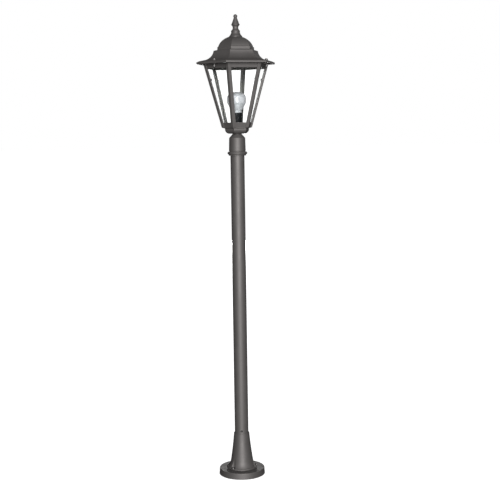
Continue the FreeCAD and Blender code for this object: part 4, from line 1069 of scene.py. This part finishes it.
class LANTERN_OT_collar(Operator):
    """Collar casting on top of the pole: lip, bead, groove, long body, shoulder and neck"""

    bl_idname = "lantern.collar"
    bl_label = "Collar"

    def execute(self, context):
        coat = finish("coat on castings")
        foot, top = low("collar"), high("collar")
        pole_top = high("pole_tube")
        bore = reach("pole_tube") + 0.1
        casting = (
            Outline(bore, foot, 0.4)
            .to(30.9, foot, 0.9).to(30.9, foot + 3.9, 0.4)
            .through((35.2, foot + 9.0), (30.9, foot + 14.1), 12)
            .to(28.6, foot + 14.2, 0.5).to(28.6, foot + 16.6, 0.6)
            .to(29.9, foot + 17.2, 0.7).to(28.6, foot + 60.0).to(28.5, foot + 62.9, 1.4)
            .to(26.9, foot + 64.1, 0.5)
            .to(16.4, top - 1.6, 0.6).to(16.4, top, 0.3)
            .to(8.05, top).to(8.05, pole_top, 0.5).to(bore, pole_top)
            .turned(coat)
        )
        height = halfway("collar_grub_screws")
        for angle in SET_SCREW_ANGLES:
            hole = moved(prism(24, 2.55, 10, 60), radial(0, height, angle))
            casting = combined(casting, hole, "DIFFERENCE")
        place("collar_casting", paint(casting, coat), ["collar"], "cast_coat")
        return {"FINISHED"}


# ---------------- lantern cage
class LANTERN_OT_tray(Operator):
    """Bowl-shaped tray under the cage, with a stepped flange and a hole for the lampholder"""

    bl_idname = "lantern.tray"
    bl_label = "Tray"

    def execute(self, context):
        coat = finish("coat on castings")
        mitre = context.scene.lantern_sizes.mitre / MM
        foot, top = low("tray"), high("tray")
        bowl = (
            Outline(0, foot)
            .to(25.0, foot)
            .through((35.2, foot + 5.4), (38.6, foot + 16.5))
            .to(38.7, top - 3.4, 0.4).to(40.9, top - 3.0, 0.4).to(41.2, top - 2.4, 0.3).to(44.6, top - 2.3, 0.7)
            .to(44.6, top, 0.3).to(35.8, top, 0.3).to(35.8, foot + 16.5)
            .through((31.5, foot + 7.9), (26.5, foot + 4.5))
            .to(0, foot + 4.5)
            .swept(coat, mitre)
        )
        bowl = combined(bowl, prism(40, 8.1, foot - 3, foot + 8), "DIFFERENCE")
        place("tray_casting", paint(bowl, coat), ["tray"], "cast_coat")
        return {"FINISHED"}


class LANTERN_OT_rails(Operator):
    """Rails around the foot and the head of the cage: the lower one has the shelf that carries the panes, the
    upper one has three ears for the roof's screws"""

    bl_idname = "lantern.rails"
    bl_label = "Rails"

    def execute(self, context):
        coat = finish("coat on castings")
        mitre = context.scene.lantern_sizes.mitre / MM
        foot, top = low("bottom_rail"), high("bottom_rail")
        shelf = face_distance(foot + 2.5, INNER_DEPTH)
        lower = (
            Outline(face_distance(foot, POST_PROUD), foot, 0.7)
            .to(face_distance(top, POST_PROUD), top, 0.8)
            .to(face_distance(top, INNER_DEPTH), top, 0.4)
            .to(shelf, foot + 2.5)
            .to(shelf - 4.2, foot + 2.5, 0.4)
            .to(shelf - 4.2, foot, 0.4)
            .swept(coat, mitre)
        )
        place("bottom_rail_casting", lower, ["bottom_rail"], "cast_coat")
        foot, top = low("top_rail"), high("top_rail")
        upper = (
            Outline(face_distance(foot, POST_PROUD), foot, 0.7)
            .to(face_distance(top, POST_PROUD), top, 0.5)
            .to(face_distance(top, INNER_DEPTH), top, 0.5)
            .to(face_distance(foot, INNER_DEPTH), foot, 0.4)
            .swept(coat, mitre)
        )
        root = face_distance(top - 4, INNER_DEPTH) + 1.2
        tip = ROOF_SCREW_RING + 6.5
        ear = slab([(root, -7.5, 0.0), (tip, -7.5, 6.0), (tip, 7.5, 6.0), (root, 7.5, 0.0)], top - 4, top)
        ear = combined(ear, prism(24, 2.6, top - 8, top + 4, ROOF_SCREW_RING), "DIFFERENCE")
        upper = combined(upper, at_screws(ear, coat), "UNION")
        place("top_rail_casting", paint(upper, coat), ["top_rail"], "cast_coat")
        return {"FINISHED"}


class LANTERN_OT_posts(Operator):
    """Six leaning angle posts that run over both rails, thicker between the rails than over them"""

    bl_idname = "lantern.posts"
    bl_label = "Posts"

    def execute(self, context):
        coat = finish("coat on castings")
        foot, top = low("post_1"), high("post_1")
        lower, upper = high("bottom_rail"), low("top_rail")
        edge = context.scene.lantern_sizes.edge / MM
        rings = []
        spans = (
            (foot, 0.5, POST_PROUD - 0.3), (foot + 0.6, 0.0, POST_PROUD), (lower, 0.0, POST_PROUD),
            (lower, 0.0, INNER_DEPTH), (upper, 0.0, INNER_DEPTH), (upper, 0.0, POST_PROUD),
            (top - 0.3, 0.0, POST_PROUD), (top, 0.3, POST_PROUD - 0.2),
        )
        for z, outer, inner in spans:
            leg_end = side_half(z, 0) - POST_LEG + outer
            rings.append(level_ring(angle_section(z, outer, inner, leg_end, edge), z))
        posts = repeated(loft(rings), SIDES, 0.0, coat)
        place("cage_posts", posts, [f"post_{n}" for n in range(1, SIDES + 1)], "cast_coat")
        return {"FINISHED"}


class LANTERN_OT_panes(Operator):
    """Six clear panes with ground edges, which stand on the shelf behind rails and posts"""

    bl_idname = "lantern.panes"
    bl_label = "Panes"

    def execute(self, context):
        glass = finish("clear glass")
        ground = context.scene.lantern_sizes.glass_edge / MM
        foot, top = low("pane_1"), high("pane_1")
        outside = INNER_DEPTH + 0.1
        rings = []
        for z, inset in ((foot, ground), (foot + ground, 0.0), (top - ground, 0.0), (top, ground)):
            outer = face_distance(z, outside + inset)
            inner = face_distance(z, outside + 3.0 - inset)
            half = face_distance(z, outside + 3.0) * math.tan(HALF_SIDE) - 1.6
            rings.append([
                (outer, inset + ground - half, z), (outer, half - inset - ground, z),
                (outer - ground, half - inset, z), (inner + ground, half - inset, z),
                (inner, half - inset - ground, z), (inner, inset + ground - half, z),
                (inner + ground, inset - half, z), (outer - ground, inset - half, z),
            ])
        panes = repeated(loft(rings), SIDES, FRONT, glass)
        place("glass_panes", panes, [f"pane_{n}" for n in range(1, SIDES + 1)], "pane_glass")
        return {"FINISHED"}


class LANTERN_OT_clips(Operator):
    """Spring clips inside the posts, each with two wings behind the panes"""

    bl_idname = "lantern.clips"
    bl_label = "Pane clips"

    def execute(self, context):
        steel = finish("stainless steel")
        foot, top = low("pane_clips"), high("pane_clips")
        wing = INNER_DEPTH + 3.2
        rings = []
        for z, gap, trim in (
            (foot, 2.7, 0.25), (foot + 0.3, 3.1, 0.0), (top - 0.4, 7.3, 0.0), (top, 7.0, 0.3),
        ):
            away, back = face_distance(z, wing + trim), face_distance(z, wing + 1.5 - trim)
            leg_end = side_half(z, wing) - gap
            legs = [(d * SIDE_COS + leg_end * SIDE_SIN, d * SIDE_SIN - leg_end * SIDE_COS) for d in (away, back)]
            tip = face_distance(z, INNER_DEPTH) / SIDE_COS - 0.1
            stem = 0.8
            root = away / SIDE_COS - stem * SIDE_COS * SIDE_SIN
            section = [
                (tip, 0.0, 0.0), (tip - stem * math.tan(HALF_SIDE), stem, 0.0), (root, stem, 0.0),
                (*legs[0], 0.3), (*legs[1], 0.3), (back / SIDE_COS, 0.0, 0.4),
                (legs[1][0], -legs[1][1], 0.3), (legs[0][0], -legs[0][1], 0.3), (root, -stem, 0.0),
                (tip - stem * math.tan(HALF_SIDE), -stem, 0.0),
            ]
            rings.append(level_ring(rounded(section), z))
        clips = repeated(loft(rings), SIDES, 0.0, steel)
        place("pane_clip_springs", clips, ["pane_clips"], "screw_steel")
        return {"FINISHED"}


# ---------------- roof and finial
class LANTERN_OT_roof(Operator):
    """Cast roof: eave with a lip, cove, ledge and dome, hollow underneath, with a rib that sits on the cage and
    bosses for its screws"""

    bl_idname = "lantern.roof"
    bl_label = "Roof"

    def execute(self, context):
        coat = finish("coat on castings")
        mitre = 1.2 * context.scene.lantern_sizes.mitre / MM
        foot, top = EAVE_FOOT, high("roof")
        rail = face_distance(high("top_rail"), POST_PROUD)
        rib, rib_foot = rail - 0.4, high("top_rail") + 0.2
        cove_foot, cove_top = foot + COVE_START_RISE, foot + 43.2
        ledge = cove_top + 3.2
        middle = (COVE_START - 16.6, cove_foot + 11.6)
        dome = DOME_DISTANCE
        angle = math.acos(22.0 / dome)

        def crown(inset, first):
            width = dome - inset
            return [
                (width * math.cos(angle * share), ledge - inset + 49.2 * math.sin(angle * share))
                for share in (first + (1 - first) * n / ARC_STEPS for n in range(ARC_STEPS + 1))
            ]

        shell = (
            Outline(EAVE_DISTANCE - 2.6, foot - EAVE_DRIP, 0.5)
            .to(EAVE_DISTANCE, foot - EAVE_DRIP, 0.9).to(EAVE_DISTANCE, foot + EAVE_LIP - 2.4, 1.1)
            .to(EAVE_DISTANCE - 9.0, slope_height(EAVE_DISTANCE - 9.0) - 0.2, 1.0)
            .to(COVE_START, cove_foot)
            .through(middle, (COVE_TOP, cove_top - 0.9), 16)
            .to(COVE_TOP - 0.2, cove_top + 0.3, 0.6)
            .to(dome + 2.0, ledge - 0.2, 0.8).to(dome + 1.5, ledge + 1.2, 0.3)
            .to(dome + 1.1, ledge + 9.8, 0.9).to(crown(0, 0.17)[0][0] - 0.1, ledge + 10.9, 0.4)
            .along(crown(0, 0.2))
            .to(4.1, top, 0.2).to(4.1, top - 3.0)
            .along(crown(3.0, 0.0)[::-1])
            .to(COVE_TOP - 3.0, cove_top - 3.0)
            .through((middle[0] - 3.0, middle[1] - 3.0), (COVE_START - 3.0, cove_foot - 3.0), 16)
            .to(rib - 3.4, slope_height(rib - 3.4) - 3.0, 0.6)
            .to(rib - 3.4, rib_foot, 0.5).to(rib, rib_foot, 0.5).to(rib, slope_height(rib) - 3.0, 0.6)
            .to(EAVE_DISTANCE - 2.6, foot + 0.6, 0.6)
            .swept(coat, mitre)
        )
        seat = low("roof_washers")
        boss = prism(32, 6.4, foot + 1.5, seat, ROOF_SCREW_RING, 0.5)
        shell = combined(shell, at_screws(boss, coat), "UNION")
        hole = prism(24, 2.6, foot - 5, seat + 5, ROOF_SCREW_RING)
        shell = combined(shell, at_screws(hole, coat), "DIFFERENCE")
        place("roof_casting", paint(shell, coat), ["roof"], "cast_coat")
        return {"FINISHED"}


class LANTERN_OT_roof_screws(Operator):
    """Three screws with washers that hold the roof on the cage's ears"""

    bl_idname = "lantern.roof_screws"
    bl_label = "Roof screws"

    def execute(self, context):
        steel = finish("stainless steel")
        seat = low("roof_washers")
        at = ROOF_SCREW_RING * MM
        ring = moved(washer(5.6, 2.6, 1.0), Matrix.Translation((at, 0, seat * MM)))
        bolt = moved(screw(4.4, 3.0, 26.0, 2.4, 0.45), Matrix.Translation((at, 0, (seat + 1.0) * MM)))
        fixings = at_screws(joined(ring, bolt), steel)
        place("roof_fixings", fixings, ["roof_screws", "roof_washers"], "screw_steel")
        return {"FINISHED"}


class LANTERN_OT_finial(Operator):
    """Turned finial: bell foot, bead, waist, wide rim, cone and ball"""

    bl_idname = "lantern.finial"
    bl_label = "Finial"

    def execute(self, context):
        coat = finish("coat on castings")
        foot, top = low("finial"), high("finial")
        neck, bead, rim = foot + 17.1, foot + 22.7, foot + 41.5
        tip = foot + 66.8
        ball = 7.0
        centre = tip + math.sqrt(ball**2 - 5.4**2)
        start = math.asin((tip - centre) / ball)
        globe = [
            (ball * math.cos(turn), centre + ball * math.sin(turn))
            for turn in (start + (math.pi / 2 - start) * n / ARC_STEPS for n in range(1, ARC_STEPS))
        ]
        turning = (
            Outline(0, foot + 22.0)
            .to(4.05, foot + 22.0).to(4.05, foot, 0.3)
            .to(23.4, foot, 0.3).to(23.4, foot + 2.2, 0.9).to(22.2, foot + 3.2, 0.5)
            .through((17.9, foot + 8.7), (15.2, neck))
            .to(14.7, neck + 0.3, 0.2)
            .through((16.0, (neck + bead) / 2), (14.4, bead - 0.3), 10)
            .to(13.7, bead + 0.3, 0.3)
            .through((9.8, (bead + rim) / 2), (14.7, rim - 0.4))
            .to(15.1, rim, 0.3).to(15.1, rim + 1.5, 0.5).to(14.2, rim + 2.1, 0.3)
            .through((9.7, (rim + 1.4 + tip) / 2), (5.6, tip - 0.5))
            .to(5.3, tip, 0.2)
            .along(globe)
            .to(0, top)
            .turned(coat)
        )
        place("finial_turning", paint(turning, coat), ["finial"], "cast_coat")
        return {"FINISHED"}


# ---------------- lampholder and lamp
THREAD_ROW = 0.4             # rows of a shell that carries a thread are about this far apart
THREAD_RUN_OUT = 0.0018


def threaded(shell, material, depth, start, end):
    """A turned shell with a thread rolled into it between two heights, to a share of the chosen depth."""
    sizes = bpy.context.scene.lantern_sizes
    return run_nodes(
        shell.turned(material), tree_named("Rolled thread", thread_tree), Pitch=sizes.thread_pitch,
        Depth=depth * sizes.thread_depth, Start_Height=start * MM, End_Height=end * MM, Run_Out=THREAD_RUN_OUT,
        Material=material)


class LANTERN_OT_lampholder(Operator):
    """Moulded lampholder: base with two ears, ribbed shell, and the thread shell inside it"""

    bl_idname = "lantern.lampholder"
    bl_label = "Lampholder"

    def execute(self, context):
        black = finish("black moulding")
        foot, joint, top = low("lampholder_base"), high("lampholder_base"), high("lampholder_shell")
        base = (
            Outline(15.0, foot)
            .to(18.4, foot, 0.5).to(18.4, joint - 1.2, 0.4).to(17.9, joint, 0.2).to(15.0, joint)
            .turned(black)
        )
        plan = [(17.2, -4.5, 0.0), (25.0, -4.5, 2.2), (25.0, 4.5, 2.2), (17.2, 4.5, 0.0)]
        ear = slab(plan, foot, foot + 3.0)
        ear = combined(ear, prism(20, 1.6, foot - 2, foot + 5, 22.0), "DIFFERENCE")
        base = combined(base, repeated(ear, 2, FRONT, black), "UNION")
        place("holder_base", paint(base, black), ["lampholder_base"], "holder_black")
        floor = joint + 21.0
        socket = reach("lampholder_insert") + 0.05
        shell = (
            Outline(0, floor)
            .to(socket, floor).to(socket, top, 0.5).to(17.7, top, 0.9).to(17.9, floor + 4.0, 0.4)
            .to(17.5, floor + 3.0, 0.3).to(17.5, joint + 2.4, 0.3).to(18.4, joint + 1.6, 0.4)
            .to(18.4, joint + 0.2, 0.4).to(15.0, joint).to(15.0, joint + 16.0).to(0, joint + 16.0)
            .turned(black)
        )
        rib = loft([
            level_ring(rounded([
                (17.2, -0.5, 0.0), (18.3 - cut, -0.35, 0.2), (18.3 - cut, 0.35, 0.2), (17.2, 0.5, 0.0)]), z)
            for z, cut in ((joint + 3.2, 0.7), (joint + 3.9, 0.0), (floor + 1.6, 0.0), (floor + 2.3, 0.7))
        ])
        ribs = repeated(rib, context.scene.lantern_sizes.rib_count, 0.0, black)
        place("holder_shell", paint(joined(shell, ribs), black), ["lampholder_shell"], "holder_black")
        nickel = finish("nickel shell")
        foot, top, bore = low("lampholder_insert"), high("lampholder_insert"), reach("lampholder_insert")
        rows = round((top - foot) / THREAD_ROW)
        liner = (
            Outline(bore - 0.4, foot)
            .climb(bore - 0.4, foot, top, range(1, rows + 1), rows)
            .climb(bore, foot, top, range(rows, -1, -1), rows)
        )
        place("holder_thread", threaded(liner, nickel, 0.6, foot + 1, top - 1), ["lampholder_insert"], "thread_shell")
        return {"FINISHED"}


class LANTERN_OT_lamp(Operator):
    """Opal lamp: housing with its neck, diffuser above the seam, and the rolled screw cap"""

    bl_idname = "lantern.lamp"
    bl_label = "Lamp"

    def execute(self, context):
        white = finish("lamp moulding")
        foot, seam = low("bulb_housing"), high("bulb_housing")
        radius = reach("bulb_diffuser")
        housing = (
            Outline(0, foot)
            .to(16.0, foot, 0.3).to(17.4, foot + 0.9, 0.5).to(17.4, foot + 1.9, 0.3).to(16.9, foot + 2.3, 0.2)
            .to(16.9, foot + 2.9, 0.2).to(17.4, foot + 3.3, 0.3).to(17.4, foot + 8.0)
            .through((25.2, foot + 20.2), (radius - 0.3, seam - 0.7), 20)
            .to(radius - 0.5, seam, 0.2).to(29.5, seam).to(29.5, seam - 1.4)
            .through((23.8, foot + 21.6), (16.0, foot + 9.4))
            .to(16.0, foot + 1.4).to(0, foot + 1.4)
            .turned(white)
        )
        place("lamp_housing", paint(housing, white), ["bulb_housing"], "lamp_white")
        diffuse = finish("opal diffuser")
        top = high("bulb_diffuser")
        side = foot + 54.0

        def crown(inset):
            return [
                ((radius - inset) * math.cos(turn), side + (top - side - inset) * math.sin(turn))
                for turn in (math.pi / 2 * n / 18 for n in range(1, 18))
            ]

        diffuser = (
            Outline(0, top - 1.4)
            .along(crown(1.4)[::-1])
            .to(radius - 1.4, side).to(radius - 1.4, seam).to(radius - 0.5, seam, 0.2)
            .to(radius - 0.3, seam + 0.6, 0.3).to(radius, seam + 1.6).to(radius, side)
            .along(crown(0))
            .to(0, top)
            .turned(diffuse)
        )
        place("lamp_diffuser", paint(diffuser, diffuse), ["bulb_diffuser"], "opal_diffuser")
        nickel = finish("nickel shell")
        foot, top, cap = low("bulb_cap"), high("bulb_cap"), reach("bulb_cap")
        rows = round((top - foot) / THREAD_ROW)
        shell = (
            Outline(cap - 2.6, foot).to(cap - 1.0, foot).to(cap, foot + 1.0)
            .climb(cap, foot, top, range(3, rows + 1), rows)
            .climb(cap - 0.4, foot, top, range(rows, 2, -1), rows)
            .to(cap - 1.2, foot + 0.4).to(cap - 2.6, foot + 0.4)
        )
        place("lamp_cap", threaded(shell, nickel, 1.0, foot + 1.2, top - 3.5), ["bulb_cap"], "thread_shell")
        return {"FINISHED"}


class LANTERN_OT_inner_parts(Operator):
    """Finishes for the small inner parts that keep their own shape"""

    bl_idname = "lantern.inner_parts"
    bl_label = "Inner parts"

    def execute(self, context):
        for node, name in KEPT_NODES.items():
            for socket in frame["nodes"][node].material_slots:
                socket.link = "OBJECT"
                socket.material = finish(name)
        return {"FINISHED"}


# ---------------- studio
# Name, turn from the camera and elevation in degrees, distance and size in metres, and the setting that holds its
# power, with the share that it takes.
SOFTBOXES = (
    ("softbox front", 4, 10, 12.0, 5.2, "key", 1.0),
    ("softbox side left", 150, 28, 3.2, 2.2, "fill", 1.0),
    ("softbox side right", -150, 28, 3.2, 2.2, "fill", 0.4),
    ("softbox back", 180, -3, 8.0, 1.6, "back", 1.0),
)
FLOOR_RINGS = (0.2, 1.0, 60.0)
FLOOR_GLOW = (0.079, 0.088)  # the floor turns white between these distances from the axis
BLACK = (0.0, 0.0, 0.0, 1.0)
WHITE = (1.0, 1.0, 1.0, 1.0)


def first_sight(tree, path):
    """One for a ray that hasn't been scattered or mirrored yet, nought for any other."""
    bounces = maths(tree, "ADD", path.outputs["Diffuse Depth"], path.outputs["Glossy Depth"])
    return maths(tree, "LESS_THAN", bounces, 0.5)


class LANTERN_OT_studio(Operator):
    """Pale floor, white room, softboxes in front of and behind the lantern, and the camera"""

    bl_idname = "lantern.studio"
    bl_label = "Studio"

    def execute(self, context):
        studio = context.scene.lantern_studio
        self.floor()
        self.room(context.scene, studio.ambient)
        height = high("finial") * MM
        aim = Vector((0, 0, 0.5 * height))
        for name, turn, elevation, distance, size, setting, share in SOFTBOXES:
            azimuth = studio.azimuth + math.radians(turn)
            self.softbox(name, aim, azimuth, elevation, distance, size, share * getattr(studio, setting))
        lens = bpy.data.cameras.new("camera")
        lens.lens = studio.lens
        lens.shift_x = studio.shift
        camera = bpy.data.objects.new("camera", lens)
        camera.matrix_world = (
            Matrix.Translation(studio.place) @ around_z(studio.azimuth)
            @ Matrix.Rotation(math.pi / 2 - studio.pitch, 4, "X") @ around_z(studio.roll))
        context.scene.collection.objects.link(camera)
        context.scene.camera = camera
        context.scene.view_settings.view_transform = "Standard"
        return {"FINISHED"}

    def floor(self):
        """A disc that is lit near the lantern and plain white to the camera farther out."""
        turns = 96
        points = [(0, 0, 0)] + [(*point, 0.0) for radius in FLOOR_RINGS for point in circle(radius, turns)]
        faces = [(0, 1 + n, 1 + (n + 1) % turns) for n in range(turns)]
        for row in range(len(FLOOR_RINGS) - 1):
            near, far = 1 + row * turns, 1 + (row + 1) * turns
            faces += [(near + n, far + n, far + (n + 1) % turns, near + (n + 1) % turns) for n in range(turns)]
        made, tree, shader, where = open_material("pale floor", Roughness=0.9, Specular_IOR_Level=0.1)
        pale = mix_colour(tree, noise(tree, where, 3.0, 3.0), (0.9, 0.9, 0.9, 1.0), (0.94, 0.94, 0.94, 1.0))
        tree.links.new(pale, shader.inputs["Base Color"])
        away = add(tree, "ShaderNodeVectorMath", {0: where}, operation="LENGTH").outputs["Value"]
        glow = add(
            tree, "ShaderNodeMapRange", {"Value": away, "From Min": FLOOR_GLOW[0], "From Max": FLOOR_GLOW[1]},
            interpolation_type="SMOOTHSTEP").outputs[0]
        shown = maths(tree, "MULTIPLY", glow, first_sight(tree, add(tree, "ShaderNodeLightPath")))
        tree.links.new(mix_colour(tree, shown, BLACK, WHITE), shader.inputs["Emission Color"])
        shader.inputs["Emission Strength"].default_value = 1.0
        arrange(tree)
        floor = bpy.data.objects.new("floor", paint(mesh_of("floor", points, faces), made))
        bpy.context.scene.collection.objects.link(floor)
        floor.visible_glossy = False
        floor.visible_diffuse = False

    def room(self, scene, ambient):
        """White to the camera and through glass, dim on the lantern."""
        world = bpy.data.worlds.new("room")
        scene.world = world
        world.use_nodes = True
        tree = world.node_tree
        tree.nodes.clear()
        path = add(tree, "ShaderNodeLightPath")
        straight = maths(tree, "MAXIMUM", path.outputs["Is Camera Ray"], path.outputs["Is Transmission Ray"])
        seen = maths(tree, "MULTIPLY", straight, first_sight(tree, path))
        through = maths(tree, "MULTIPLY_ADD", path.outputs["Is Transmission Ray"], GLASS_LIFT, 1.0 - ambient)
        strength = maths(tree, "MULTIPLY_ADD", seen, through, ambient)
        back = add(tree, "ShaderNodeBackground", {"Color": WHITE, "Strength": strength})
        add(tree, "ShaderNodeOutputWorld", {"Surface": back.outputs[0]})
        arrange(tree)

    def softbox(self, name, aim, azimuth, elevation, distance, size, power):
        """A square light that looks at a point and that neither the camera nor the panes show."""
        light = bpy.data.lights.new(name, "AREA")
        light.shape = "SQUARE"
        light.size = size
        light.energy = power
        lamp = bpy.data.objects.new(name, light)
        rise = math.radians(elevation)
        back = around_z(azimuth).to_3x3() @ Vector((0, -math.cos(rise), math.sin(rise)))
        lamp.location = aim + back * distance
        lamp.rotation_euler = back.to_track_quat("Z", "Y").to_euler()
        lamp.visible_camera = False
        lamp.visible_transmission = False
        bpy.context.scene.collection.objects.link(lamp)


# ---------------- panel and main
STEPS = (
    LANTERN_OT_base_plate, LANTERN_OT_foot_cone, LANTERN_OT_foot_screws, LANTERN_OT_pole, LANTERN_OT_lock_screws,
    LANTERN_OT_collar, LANTERN_OT_tray, LANTERN_OT_rails, LANTERN_OT_posts, LANTERN_OT_panes, LANTERN_OT_clips,
    LANTERN_OT_roof, LANTERN_OT_roof_screws, LANTERN_OT_finial, LANTERN_OT_lampholder, LANTERN_OT_lamp,
    LANTERN_OT_inner_parts, LANTERN_OT_studio,
)


class LANTERN_PT_pieces(Panel):
    """Settings of the lantern, and a button for each piece"""

    bl_idname = "LANTERN_PT_pieces"
    bl_label = "Post lantern"
    bl_space_type = "VIEW_3D"
    bl_region_type = "UI"
    bl_category = "Lantern"

    def draw(self, context):
        for settings in (
            context.scene.lantern_sizes, context.scene.lantern_finish, context.scene.lantern_studio,
        ):
            box = self.layout.box()
            for name in settings.__annotations__:
                box.prop(settings, name)
        column = self.layout.column(align=True)
        for step in STEPS:
            column.operator(step.bl_idname)


CLASSES = (LanternSizes, LanternFinish, StudioSettings, *STEPS, LANTERN_PT_pieces)


def register():
    for item in CLASSES:
        bpy.utils.register_class(item)
    bpy.types.Scene.lantern_sizes = PointerProperty(type=LanternSizes)
    bpy.types.Scene.lantern_finish = PointerProperty(type=LanternFinish)
    bpy.types.Scene.lantern_studio = PointerProperty(type=StudioSettings)


def unregister():
    del bpy.types.Scene.lantern_sizes
    del bpy.types.Scene.lantern_finish
    del bpy.types.Scene.lantern_studio
    for item in reversed(CLASSES):
        bpy.utils.unregister_class(item)


def main():
    register()
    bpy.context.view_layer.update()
    for step in STEPS:
        family, name = step.bl_idname.split(".")
        getattr(getattr(bpy.ops, family), name)()


if __name__ == "__main__":
    main()
